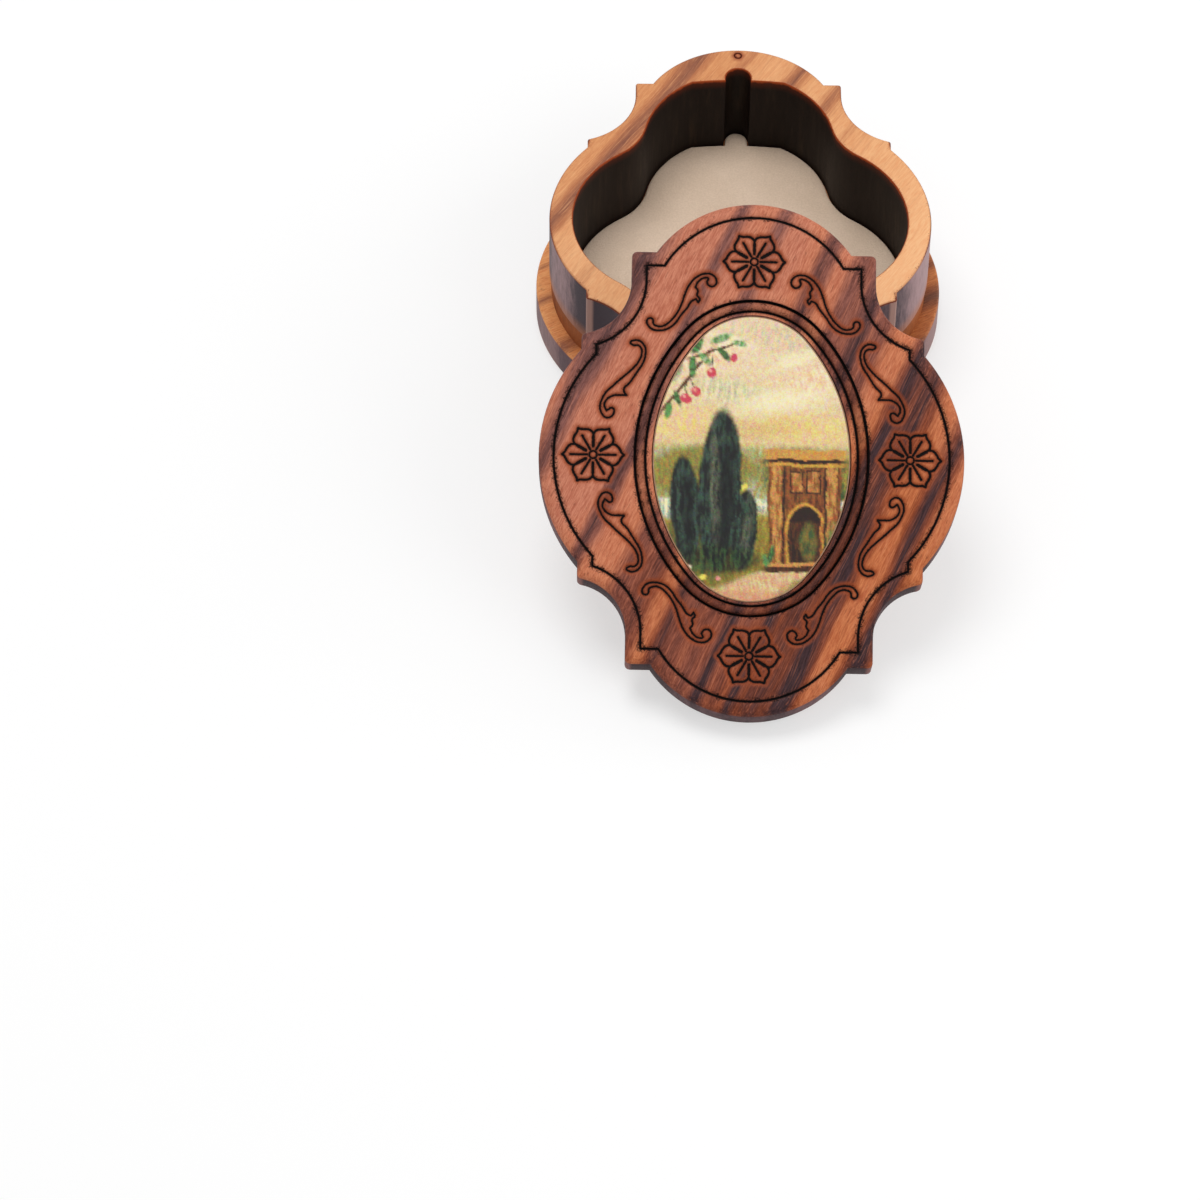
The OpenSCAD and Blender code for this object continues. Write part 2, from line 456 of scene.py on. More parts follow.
def eased(margin: float, low: float, reach: float = 0.35, step: float = 0.1) -> list[Point]:
    """Returns the profile of a worn lower edge, from the bottom to the side."""
    return [(margin + reach, low), (margin + step, low + 0.1), (margin, low + reach)]


def level_faces(bm: BMesh, height: float) -> list[BMFace]:
    """Returns the flat faces at a height."""
    return [f for f in bm.faces if all(abs(v.co.z - height) < FLAT for v in f.verts)]


def slices(bm: BMesh, faces: list[BMFace], axis: int, planes: Sequence[float]) -> list[BMFace]:
    """Cuts flat faces by parallel planes, halving the work at the middle plane each time.

    Args:
        bm: the mesh.
        faces: the faces to cut.
        axis: 0 for planes across x, 1 for planes across y.
        planes: places of the planes, from low to high.

    Returns:
        The faces after the cuts.
    """
    if not planes or not faces:
        return faces
    half = len(planes) // 2
    normal = Vector((1 - axis, axis, 0))
    geom: list[Any] = list(faces)
    geom += list({e for f in faces for e in f.edges})
    geom += list({v for f in faces for v in f.verts})
    made = bmesh.ops.bisect_plane(bm, geom=geom, dist=0.01, plane_co=normal * planes[half], plane_no=normal)
    cut = [item for item in made["geom"] if isinstance(item, BMFace)]
    low = [f for f in cut if f.calc_center_median()[axis] < planes[half]]
    high = [f for f in cut if f.calc_center_median()[axis] >= planes[half]]
    return slices(bm, low, axis, planes[:half]) + slices(bm, high, axis, planes[half + 1 :])


def lattice(bm: BMesh, faces: list[BMFace], pitch: float, half_w: float, half_len: float) -> None:
    """Cuts flat faces into small squares, so that they can carry a finely varying attribute.

    Args:
        bm: the mesh.
        faces: the faces to cut.
        pitch: side of a square.
        half_w: half the width that the squares cover.
        half_len: half the length that they cover.
    """
    for axis, half in ((0, half_w), (1, half_len)):
        count = int(half / pitch)
        faces = slices(bm, faces, axis, [(k + LATTICE_START) * pitch for k in range(-count, count + 1)])


def refine(bm: BMesh, faces: list[BMFace], cuts: int) -> None:
    """Divides squares again, after the faces of more corners are made into triangles.

    Args:
        bm: the mesh.
        faces: the faces to divide.
        cuts: number of cuts across each edge.
    """
    squares = [f for f in faces if len(f.verts) == 4]
    others = bmesh.ops.triangulate(bm, faces=[f for f in faces if len(f.verts) > 4])["faces"]
    edges = list({e for f in squares + others for e in f.edges if e.calc_length() > SHORT_EDGE})
    bmesh.ops.subdivide_edges(bm, edges=edges, cuts=cuts, use_grid_fill=True)


@dataclass(frozen=True)
class BurntLine:
    """One burnt line: a smooth curve through a few points, in millimetres on its board's face."""

    points: tuple[Point, ...]
    corners: tuple[int, ...] = ()
    closed: bool = False
    width: float = 0.3
    depth: float = 0.34

    def curve(self, turned: Matrix) -> bpy.types.Object:
        """Makes the line as a curve with a round section.

        Args:
            turned: the matrix that puts the line in its place on the board.

        Returns:
            The curve's object.
        """
        data = bpy.data.curves.new("burnt_line", "CURVE")
        data.dimensions = "3D"
        data.resolution_u = 5
        data.bevel_depth = self.width / 2
        data.bevel_resolution = 1
        data.use_fill_caps = True
        spline = data.splines.new("BEZIER")
        spline.bezier_points.add(len(self.points) - 1)
        spline.use_cyclic_u = self.closed
        for index, (point, (x, y)) in enumerate(zip(spline.bezier_points, self.points)):
            point.co = turned @ Vector((x, y, 0))
            kind = "VECTOR" if index in self.corners else "AUTO"
            point.handle_left_type = kind
            point.handle_right_type = kind
        return put(bpy.data.objects.new("burnt_line", data))

    def samples(self, curve: bpy.types.Object) -> list[Vector]:
        """Returns points along the middle of the curve."""
        section = curve.data.bevel_depth
        curve.data.bevel_depth = 0
        line = curve.to_mesh()
        found = [v.co.copy() for v in line.vertices]
        ends = [(line.vertices[a].co, line.vertices[b].co) for a, b in (e.vertices for e in line.edges)]
        for start, end in ends:
            steps = max(1, int((end - start).length / SAMPLE_PITCH))
            found += [start.lerp(end, k / steps) for k in range(1, steps)]
        curve.to_mesh_clear()
        curve.data.bevel_depth = section
        return found


@dataclass(frozen=True)
class FlowerMark:
    """A burnt flower of six pointed petals, in millimetres."""

    petals: int = 6
    tip_r: float = 4.95
    seam_start: float = 1.35
    seam_end: float = 2.95
    seam_w: float = 0.5
    vein_start: float = 0.95
    vein_end: float = 3.6
    eye_r: float = 0.6
    line_w: float = 0.4
    shoulder: tuple[Point, ...] = ((3.05, 1.70), (3.7, 1.56), (4.22, 0.98), (4.52, 0.42))

    def lines(self) -> list[BurntLine]:
        """Returns the flower's lines round its own centre."""
        half = 180 / self.petals
        found = [BurntLine(six_points(self.eye_r), closed=True)]
        petal = (tuple(polar(self.seam_end, half)), *self.shoulder, (self.tip_r, 0.0))
        seam = ((self.seam_start, 0.0), (self.seam_end, 0.0))
        vein = ((self.vein_start, 0.0), (self.vein_end, 0.0))
        for k in range(self.petals):
            axis = 2 * half * k
            for side in (1, -1):
                found.append(self.turned([(x, side * y) for x, y in petal], axis, self.line_w))
            found.append(self.turned(seam, axis + half, self.seam_w))
            found.append(self.turned(vein, axis, self.line_w))
        return found

    def turned(self, points: Iterable[Point], degrees: float, width: float) -> BurntLine:
        """Returns a line through points that are turned about the flower's centre."""
        turn = Matrix.Rotation(math.radians(degrees), 2)
        return BurntLine(tuple(tuple(turn @ Vector(p)) for p in points), width=width)


@dataclass(frozen=True)
class ScrollMarks:
    """The eight burnt scrolls, in millimetres: two outlines of the back right quarter and their images."""

    upper: tuple[Point, ...] = (
        (6.0, 29.0), (6.6, 29.95), (7.8, 30.2), (9.0, 29.75), (10.2, 28.55), (11.0, 26.9), (11.6, 25.0),
        (12.3, 23.55), (13.3, 22.25), (14.45, 21.4), (15.4, 21.35), (16.0, 21.7), (16.15, 22.45),
        (16.7, 22.65), (17.1, 22.15), (16.85, 21.4), (16.15, 20.8), (15.2, 20.65), (13.75, 20.95),
        (12.55, 21.9), (11.6, 23.3), (10.65, 24.5), (9.95, 25.6), (9.25, 25.95), (8.9, 25.4),
        (8.65, 25.95), (9.1, 26.55), (9.0, 27.35), (9.4, 27.95), (8.9, 28.9), (7.9, 29.5), (7.35, 29.4),
        (7.55, 28.8), (6.95, 28.1), (6.25, 28.3),
    )
    upper_corners: tuple[int, ...] = (23, 24, 28)
    lower: tuple[Point, ...] = (
        (18.4, 18.1), (19.2, 18.15), (19.65, 18.55), (19.2, 18.9), (18.3, 18.9), (17.55, 18.3), (17.2, 17.35),
        (17.3, 16.15), (17.7, 15.0), (18.4, 13.9), (19.6, 12.0), (20.6, 10.7), (20.15, 9.85), (21.15, 9.85),
        (22.3, 9.75), (23.5, 8.8), (23.65, 8.1), (23.3, 7.25), (22.3, 7.7), (22.1, 7.0), (22.55, 6.3),
        (23.4, 6.15), (24.1, 6.9), (24.35, 8.1), (24.0, 9.25), (23.3, 10.45), (22.3, 11.4), (21.15, 12.5),
        (19.95, 13.55), (19.0, 14.5), (18.15, 15.7), (17.8, 16.9), (17.9, 17.6),
    )
    lower_corners: tuple[int, ...] = (12, 17)
    line_w: float = 0.27

    def lines(self) -> list[tuple[BurntLine, Matrix]]:
        """Returns each scroll with the matrix that puts it in its quarter."""
        marks = ((self.upper, self.upper_corners), (self.lower, self.lower_corners))
        pair = [BurntLine(points, corners, closed=True, width=self.line_w) for points, corners in marks]
        quarters = [Matrix.Diagonal((sx, sy, 1, 1)) for sx in (1, -1) for sy in (1, -1)]
        return [(line, quarter) for quarter in quarters for line in pair]


class Board:
    """A piece under construction, in millimetres in its own frame, finished as an object of the scene."""

    def __init__(self, name: str, node: str, body: Body, slot: str, place: Matrix = Matrix()) -> None:
        """Starts a piece.

        Args:
            name: name of the finished object.
            node: the CAD node that it stands for.
            body: the body that it rides on.
            slot: name of the record's material slot; it is stored but not used.
            place: puts the piece's own frame in the box's frame, in millimetres.
        """
        self.name = name
        self.node = node
        self.body = body
        self.slot = slot
        self.place = place
        self.bm = bmesh.new()

    def finish(self, materials: Sequence[bpy.types.Material], smooth_below: float = 32.0) -> bpy.types.Object:
        """Turns the mesh into an object in its place.

        Args:
            materials: one for each index that the faces use.
            smooth_below: edges flatter than this many degrees are shaded smooth.

        Returns:
            The object.
        """
        bm = self.bm
        bmesh.ops.recalc_face_normals(bm, faces=bm.faces)
        bm.transform(Matrix.Scale(MM, 4) @ self.place)
        for piece_face in bm.faces:
            piece_face.smooth = True
        mesh = bpy.data.meshes.new(self.name)
        bm.to_mesh(mesh)
        open_edges = sum(1 for edge in bm.edges if not edge.is_manifold)
        bm.free()
        mesh.set_sharp_from_angle(angle=math.radians(smooth_below))
        made = put(bpy.data.objects.new(self.name, mesh))
        for material in materials:
            mesh.materials.append(material)
        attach(made, self.body.value)
        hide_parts(self.node)
        mesh.calc_loop_triangles()
        log.info("%s: %d triangles, %d open edges", self.name, len(mesh.loop_triangles), open_edges)
        return made

    def cut(self, cutters: Sequence[bpy.types.Object]) -> None:
        """Cuts closed shapes out of the mesh and removes them.

        Args:
            cutters: closed mesh objects in the piece's own frame.
        """
        before = bpy.data.meshes.new("uncut")
        bmesh.ops.recalc_face_normals(self.bm, faces=self.bm.faces)
        self.bm.to_mesh(before)
        target = put(bpy.data.objects.new("uncut", before))
        group = bpy.data.collections.new("cutters")
        for cutter in cutters:
            group.objects.link(cutter)
        boolean = target.modifiers.new("cut", "BOOLEAN")
        boolean.operation = "DIFFERENCE"
        boolean.solver = "MANIFOLD"
        boolean.operand_type = "COLLECTION"
        boolean.collection = group
        bpy.context.view_layer.update()
        after = bpy.data.meshes.new_from_object(target.evaluated_get(bpy.context.evaluated_depsgraph_get()))
        self.bm.clear()
        self.bm.from_mesh(after)
        for cutter in cutters:
            bpy.data.objects.remove(cutter)
        bpy.data.objects.remove(target)
        bpy.data.collections.remove(group)


class Burning:
    """Collects a board's burnt lines, cuts them and marks how near each point of the face is to one."""

    # How far from a line the marks fall to 0, and how far the dip beside a line reaches.
    REACH = 1.2
    BARB_REACH = 9.6
    DIP_REACH = 0.9
    # How deep below the face points are marked, how far inside a line's edge its black middle ends, and how
    # far the middle of a groove's section lies above the face.
    DEPTH = 1.0
    CORE = 0.18
    LIFT = 0.02

    def __init__(self, face_height: float) -> None:
        """Starts a set of lines on a face at this height in the board's own frame."""
        self.face_height = face_height
        self.cutters: list[bpy.types.Object] = []
        self.points: dict[Mark, list[Vector]] = {mark: [] for mark in Mark}

    def add(self, line: BurntLine, turned: Matrix) -> None:
        """Adds a line of ornament.

        Args:
            line: the line.
            turned: puts it in its place on the board.
        """
        curve = line.curve(turned)
        found = line.samples(curve)
        spread = max(0.0, line.width / 2 - self.CORE)
        for across, up in ((spread, spread), (-spread, spread), (spread, -spread), (-spread, -spread)):
            self.points[Mark.BURN] += [point + Vector((across, up, 0)) for point in found]
        self.points[Mark.SCORCH] += found
        mesh = bpy.data.meshes.new_from_object(curve)
        bpy.data.objects.remove(curve)
        groove = bmesh.new()
        groove.from_mesh(mesh)
        bmesh.ops.remove_doubles(groove, verts=groove.verts, dist=1e-4)
        bmesh.ops.recalc_face_normals(groove, faces=groove.faces)
        deepen = Matrix.Diagonal((1, 1, 2 * line.depth / line.width, 1))
        groove.transform(Matrix.Translation((0, 0, self.face_height + self.LIFT)) @ deepen)
        groove.to_mesh(mesh)
        groove.free()
        self.cutters.append(bpy.data.objects.new("groove", mesh))

    @staticmethod
    def tree(points: Sequence[Vector]) -> kdtree.KDTree:
        """Returns a search tree of points on the face."""
        made = kdtree.KDTree(len(points))
        for index, point in enumerate(points):
            made.insert((point.x, point.y, 0), index)
        made.balance()
        return made

    def near(self, faces: Iterable[BMFace], reach: float) -> list[BMFace]:
        """Returns the faces that lie within a reach of the ornament."""
        tree = self.tree(self.points[Mark.SCORCH])
        middles = [(f, f.calc_center_median()) for f in faces]
        return [f for f, middle in middles if tree.find((middle.x, middle.y, 0))[2] < reach]

    @staticmethod
    def along(edges: Iterable[BMEdge], pitch: float = 0.1) -> list[Vector]:
        """Returns points along the edges of a loop."""
        found = []
        for edge in edges:
            start, end = (v.co.copy() for v in edge.verts)
            steps = max(1, int((end - start).length / pitch))
            found += [Vector((*start.lerp(end, k / steps).xy, 0)) for k in range(steps)]
        return found

    def mark(self, bm: BMesh, sink: float = 0.0) -> None:
        """Writes the attributes, each 1 on its lines and falling to 0 at the reach.

        Args:
            bm: the mesh.
            sink: how far the face dips towards its burnt lines, in millimetres.
        """
        for mark, points in self.points.items():
            layer = bm.verts.layers.float.new(mark.value)
            if not points:
                continue
            tree = self.tree(points)
            reach = self.BARB_REACH if mark is Mark.BARB_SOOT_AND_PAINTED_LIGHT else self.REACH
            for vert in bm.verts:
                if mark is Mark.BARB_SOOT_AND_PAINTED_LIGHT or vert.co.z > self.face_height - self.DEPTH:
                    gap = tree.find((vert.co.x, vert.co.y, 0))[2]
                    vert[layer] = max(0.0, 1 - gap / reach)
                    if mark is Mark.BURN and abs(vert.co.z - self.face_height) < ON_FACE:
                        vert.co.z -= sink * max(0.0, 1 - gap / self.DIP_REACH) ** 2


Value = Union["Sock", float, int, tuple, Colour]


class Sock:
    """A node's output in an expression: operators on it add Math nodes."""

    def __init__(self, shader: "Shader", socket: bpy.types.NodeSocket) -> None:
        """Wraps a socket of a shader."""
        self.shader = shader
        self.socket = socket

    def math(self, operation: str, *others: Value) -> "Sock":
        """Adds a Math node with this value first."""
        return self.shader.math(operation, self, *others)

    def __add__(self, other: Value) -> "Sock":
        """Adds."""
        return self.math("ADD", other)

    __radd__ = __add__

    def __sub__(self, other: Value) -> "Sock":
        """Subtracts."""
        return self.math("SUBTRACT", other)

    def __rsub__(self, other: Value) -> "Sock":
        """Subtracts this from a number."""
        return self.shader.math("SUBTRACT", other, self)

    def __mul__(self, other: Value) -> "Sock":
        """Multiplies."""
        return self.math("MULTIPLY", other)

    def __truediv__(self, other: Value) -> "Sock":
        """Divides."""
        return self.math("DIVIDE", other)

    def __abs__(self) -> "Sock":
        """Drops the sign."""
        return self.math("ABSOLUTE")

    def least(self, other: Value) -> "Sock":
        """Returns the smaller of two."""
        return self.math("MINIMUM", other)

    def most(self, other: Value) -> "Sock":
        """Returns the larger of two."""
        return self.math("MAXIMUM", other)

    def rise(self, low: float, high: float) -> "Sock":
        """Returns a smooth step: 0 below low and 1 above high."""
        settings = {"interpolation_type": "SMOOTHSTEP"}
        values = {0: self, 1: low, 2: high, 3: 0.0, 4: 1.0}
        return self.shader.node("ShaderNodeMapRange", settings, values)

    def fall(self, low: float, high: float) -> "Sock":
        """Returns a smooth step down: 1 below low and 0 above high."""
        return 1 - self.rise(low, high)


class Shader:
    """A material under construction."""

    def __init__(self, name: str) -> None:
        """Makes an empty material with an output."""
        self.material = bpy.data.materials.new(name)
        self.material.use_nodes = True
        self.tree = self.material.node_tree
        self.tree.nodes.clear()
        self.output = self.tree.nodes.new("ShaderNodeOutputMaterial")

    def node(
        self,
        kind: str,
        settings: Mapping[str, Any],
        values: Mapping[Union[str, int], Value],
        output: Union[str, int] = 0,
    ) -> Sock:
        """Adds a node.

        Args:
            kind: the node's type.
            settings: its settings, which are set first; stops are those of a ramp, as position and colour.
            values: numbers, colours or links of its sockets, by name or index.
            output: name or index of the output that is returned.

        Returns:
            The output.
        """
        made = self.tree.nodes.new(kind)
        for key, value in settings.items():
            if key == "stops":
                self.set_stops(made.color_ramp, value)
            else:
                setattr(made, key, value)
        for key, value in values.items():
            self.feed(made.inputs[key], value)
        return Sock(self, made.outputs[output])

    @staticmethod
    def set_stops(ramp: bpy.types.ColorRamp, stops: Sequence[tuple[float, Colour]]) -> None:
        """Gives a ramp its stops."""
        while len(ramp.elements) > 1:
            ramp.elements.remove(ramp.elements[-1])
        for index, (position, colour) in enumerate(stops):
            stop = ramp.elements[0] if index == 0 else ramp.elements.new(position)
            stop.position = position
            stop.color = (*colour, 1)

    def feed(self, target: bpy.types.NodeSocket, value: Value) -> None:
        """Links or sets one input socket."""
        if isinstance(value, Sock):
            self.tree.links.new(value.socket, target)
        elif isinstance(value, tuple) and target.type == "RGBA":
            target.default_value = (*value, 1)
        else:
            target.default_value = value

    def math(self, operation: str, *values: Value) -> Sock:
        """Adds a Math node."""
        return self.node("ShaderNodeMath", {"operation": operation}, dict(enumerate(values)))

    def mix(self, share: Value, first: Value, second: Value, blend: str = "MIX") -> Sock:
        """Mixes a share of a second colour into a first one."""
        settings = {"data_type": "RGBA", "blend_type": blend, "clamp_factor": True}
        return self.node("ShaderNodeMix", settings, {0: share, 6: first, 7: second}, 2)

    def noise(self, at: Sock, scale: float, detail: float = 3.0, rough: float = 0.5) -> Sock:
        """Returns a noise of about 0 to 1 at a place."""
        values = {"Vector": at, "Scale": scale, "Detail": detail, "Roughness": rough}
        return self.node("ShaderNodeTexNoise", {}, values)

    def grit(self, x: Value, y: Value, z: Value = 0.0, detail: float = 2.0, rough: float = 0.5) -> Sock:
        """Returns a noise of about 0 to 1 at a place that is stretched along its axes."""
        return self.noise(self.vector(x, y, z), 1.0, detail, rough)

    def vector(self, x: Value, y: Value, z: Value = 0.0) -> Sock:
        """Joins three values into a vector."""
        return self.node("ShaderNodeCombineXYZ", {}, {0: x, 1: y, 2: z})

    def axes(self, at: Sock) -> tuple[Sock, Sock, Sock]:
        """Splits a vector into its three values."""
        made = self.tree.nodes.new("ShaderNodeSeparateXYZ")
        self.feed(made.inputs[0], at)
        return tuple(Sock(self, output) for output in made.outputs)

    def place(self, board: Matrix, turn: float = 0.0) -> Sock:
        """Returns the place on a board in millimetres.

        Args:
            board: puts the board's own frame in the box's frame, in millimetres.
            turn: degrees that the returned frame is turned by in the board's own plane.

        Returns:
            The place as a vector.
        """
        inverse = Matrix.Rotation(math.radians(-turn), 4, "Z") @ board.inverted()
        here = self.node("ShaderNodeTexCoord", {}, {}, "Object")
        values = {
            "Vector": here,
            "Location": tuple(inverse.to_translation()),
            "Rotation": tuple(inverse.to_euler("XYZ")),
            "Scale": (1 / MM, 1 / MM, 1 / MM),
        }
        return self.node("ShaderNodeMapping", {"vector_type": "POINT"}, values)

    def attribute(self, mark: Mark) -> Sock:
        """Returns a number that the mesh carries."""
        return self.node("ShaderNodeAttribute", {"attribute_name": mark.value}, {}, "Fac")

    def facing(self, direction: Vector) -> Sock:
        """Returns how squarely the surface faces a direction, from 0 to 1, on either side."""
        normal = self.node("ShaderNodeNewGeometry", {}, {}, "Normal")
        values = {0: normal, 1: tuple(direction)}
        return abs(self.node("ShaderNodeVectorMath", {"operation": "DOT_PRODUCT"}, values, "Value"))

    def surface(
        self,
        colour: Value,
        roughness: Value,
        height: Union[Sock, None] = None,
        bump: float = 0.1,
        **fixed: float,
    ) -> bpy.types.Material:
        """Ends the material in one Principled BSDF.

        Args:
            colour: its base colour.
            roughness: its roughness.
            height: height of the bump, in millimetres.
            bump: strength of the bump.
            fixed: other sockets of the shader by name, with _ for a space, as plain numbers.

        Returns:
            The material.
        """
        values: dict[Union[str, int], Value] = {"Base Color": colour, "Roughness": roughness}
        values.update({key.replace("_", " "): value for key, value in fixed.items()})
        if height is not None:
            relief = {"Height": height, "Strength": bump, "Distance": MM}
            values["Normal"] = self.node("ShaderNodeBump", {}, relief, "Normal")
        shader = self.node("ShaderNodeBsdfPrincipled", {}, values, "BSDF")
        self.tree.links.new(shader.socket, self.output.inputs["Surface"])
        return self.material


@dataclass(frozen=True)
class Band:
    """A dark band of the grain: its place across the board and half its width, and how dark it is."""

    at: float
    half: float
    dark: float


def bands(*rows: tuple[float, float, float]) -> tuple[Band, ...]:
    """Returns bands from their places, half widths and darknesses."""
    return tuple(Band(*row) for row in rows)


@dataclass(frozen=True)
class OliveWood:
    """Bare olive-type wood with dark bands, streaks and pores, scorched at its sides and burnt lines, with
    painted light: a painted slant of light across each board, and a painted highlight and painted shade on its
    sides.
    """

    name: str
    grain_turn: float
    light: Colour
    warm: Colour
    middle: Colour
    dark: Colour
    side_light: Colour
    side_dark: Colour
    bands: tuple[Band, ...]
    far_bands: tuple[Band, ...] = ()
    reach: float = 44.0
    burnt: Colour = srgb(9, 4, 4)
    scorch: Colour = srgb(66, 28, 18)
    flame: Colour = srgb(158, 74, 38)
    ember: Colour = srgb(146, 74, 42)
    streak: float = 0.5
    pores: float = 0.4
    speckle: float = 0.45
    shade: float = 0.22
    roughness: float = 0.5
    gloss: float = 0.11
    # How far the painted slant of light shifts the tone per millimetre across the board.
    painted_light_drift: float = 0.012
    soot: float = 0.21
    # Height that the orange band at the foot of a side rises from. The band is partly lighter wood and partly
    # painted warm light bounced up from the foot.
    wood_and_bounce_root: float = -20.0
    merge: float = 0.7

    def stops(self, bands: Sequence[Band]) -> list[tuple[float, Colour]]:
        """Returns the ramp that draws bands across the board, with 0 for light wood and 1 for the darkest."""
        levels = [(bands[0].at - bands[0].half, 0.0), (bands[0].at, bands[0].dark)]
        for last, band in zip(bands, bands[1:]):
            if last.at + last.half < band.at - band.half:
                levels += [(last.at + last.half, 0.0), (band.at - band.half, 0.0)]
            else:
                levels.append(((last.at + band.at) / 2, self.merge * min(last.dark, band.dark)))
            levels.append((band.at, band.dark))
        levels.append((bands[-1].at + bands[-1].half, 0.0))
        return [(0.5 + at / (2 * self.reach), (level,) * 3) for at, level in levels]

    def band_ramp(self, s: Shader, across: Sock, bands: Sequence[Band]) -> Sock:
        """Returns how dark the grain is at a place across the board."""
        share = across / (2 * self.reach) + 0.5
        ramp = s.node("ShaderNodeValToRGB", {"stops": self.stops(bands)}, {"Fac": share}, "Color")
        return s.node("ShaderNodeSeparateColor", {}, {0: ramp}, "Red")

    def grain(self, s: Shader, along: Sock, across: Sock, depth: Sock) -> tuple[Sock, Sock, Sock, Sock]:
        """Draws the growth bands and the fibres.

        Args:
            s: the shader.
            along: place along the grain, in millimetres.
            across: place across it.
            depth: place through the board.

        Returns:
            How dark each place is, the fibres and the pores, from 0 to 1, and the place across bent grain.
        """
        slow = s.grit(across * 0.05, along * 0.022, depth * 0.05)
        wave = s.grit(across * 0.4, along * 0.06, depth * 0.3)
        bent = across + (slow - 0.5) * 3.0 + (wave - 0.5) * 1.6
        dark = self.band_ramp(s, bent, self.bands)
        if self.far_bands:
            share = (along + (slow - 0.5) * 30).rise(-9.0, 7.0)
            dark = self.band_ramp(s, bent, self.far_bands) * share + dark * (1 - share)
        thread = s.grit(bent * 1.3, along * 0.04, depth * 1.1, detail=4.0, rough=0.6)
        hair = s.grit(bent * 5.0, along * 0.13, depth * 5.0, detail=4.0, rough=0.6)
        pore = s.grit(bent * 6.0, along * 0.6, depth * 6.0).rise(0.62, 0.72)
        feathered = dark * 1.1 + (thread - 0.5) * self.streak + (hair - 0.5) * 0.5
        return (feathered.most(0.0).least(1.0), hair, pore, bent)

    def material(self, board: Matrix) -> bpy.types.Material:
        """Makes the material.

        Args:
            board: puts the board's own frame in the box's frame, in millimetres.

        Returns:
            The material.
        """
        s = Shader(self.name)
        along, minus_across, depth = s.axes(s.place(board, self.grain_turn))
        here = s.place(board)
        x, y, _ = s.axes(here)
        across = 0 - minus_across
        dark, hair, pore, bent = self.grain(s, along, across, depth)
        cloud = s.grit(across * 0.09 + 7, along * 0.03, depth * 0.05)
        # Painted light: the tone below mixes a random cloudy tone with a steady slant across the board. On the
        # lid this paints a broad highlight, paler towards the back left and warmer and darker towards the front
        # right. On the rim it paints the wood darker towards the back left.
        tone_and_painted_light = ((x - y) * self.painted_light_drift + (cloud - 0.5) * 1.6 + 0.5).least(1.0).most(0.0)
        dark = (dark + (tone_and_painted_light - 0.4) * self.shade).least(1.0).most(0.0)
        pale = s.mix(tone_and_painted_light, self.light, self.warm)
        wood = s.mix((dark * 2.0).least(1.0), pale, s.mix(tone_and_painted_light, self.middle, self.ember))
        wood = s.mix((dark * 2.0 - 1.0).most(0.0), wood, self.dark)
        wood = s.mix((0.5 - hair).rise(0.03, 0.18) * 0.28, wood, self.light)
        wood = s.mix(pore * self.pores, wood, self.scorch)
        speck = s.grit(bent * 3.8, along * 0.42, depth * 3.8, detail=3.0, rough=0.8)
        grey = s.mix(speck.rise(0.3, 0.7), (0.05,) * 3, (0.95,) * 3)
        wood = s.mix(self.speckle, wood, grey, "SOFT_LIGHT")
        side = s.facing(board.to_3x3() @ Vector((0, 0, 1))).fall(0.12, 0.45)
        wood = s.mix(side, wood, self.sawn(s, dark, here))
        wood, char = self.burn(s, wood, here)
        height = hair * 0.035 - pore * 0.06 + char * 0.03 + speck * 0.05
        rough = self.roughness + (hair - 0.5) * 0.15 + char * 0.2 + side * 0.12
        return s.surface(wood, rough, height, 0.5, Specular_IOR_Level=self.gloss)

    def sawn(self, s: Shader, dark: Sock, here: Sock) -> Sock:
        """Returns the colour of the sawn and darkened sides, with painted light: lighter towards the right, a
        painted highlight along each barb corner with painted shade beside it, and an orange band at the foot of
        the wall that is partly lighter wood and partly painted warm bounce light.
        """
        x, y, z = s.axes(here)
        stain = s.grit(x * 0.09, y * 0.09, z * 0.03 + 3)
        mottle = s.grit(x * 1.3, y * 1.3, z * 0.35, detail=4.0, rough=0.65)
        # The barb mark below is 1 at the barb tips. Here it paints a painted highlight on each barb corner and
        # painted shade beside it.
        worn = s.attribute(Mark.BARB_SOOT_AND_PAINTED_LIGHT)
        painted_corner_highlight = worn.rise(0.87, 0.94)
        near = worn.rise(0.0, 0.8)
        # Painted light in the mix below: painted shade near the barb tips, and a side painted lighter towards
        # the right, where the light falls. The stain, mottle and grain are the wood's own.
        deep = (stain * 0.6 + mottle * 0.6 + dark * 0.3 + near * 0.5 - x * 0.004).rise(0.45, 1.15)
        # The lighter colour below is the painted highlight on the barb corners.
        edge = s.mix(0.25, self.side_light, self.light)
        colour = s.mix(painted_corner_highlight * 0.75, s.mix(deep, self.side_light, self.side_dark), edge)
        # Orange band at the foot of the wall: partly lighter wood, partly painted warm light bounced up from
        # the foot.
        return s.mix((z - self.wood_and_bounce_root).fall(0.3, 3.5) * 0.55, colour, self.ember)

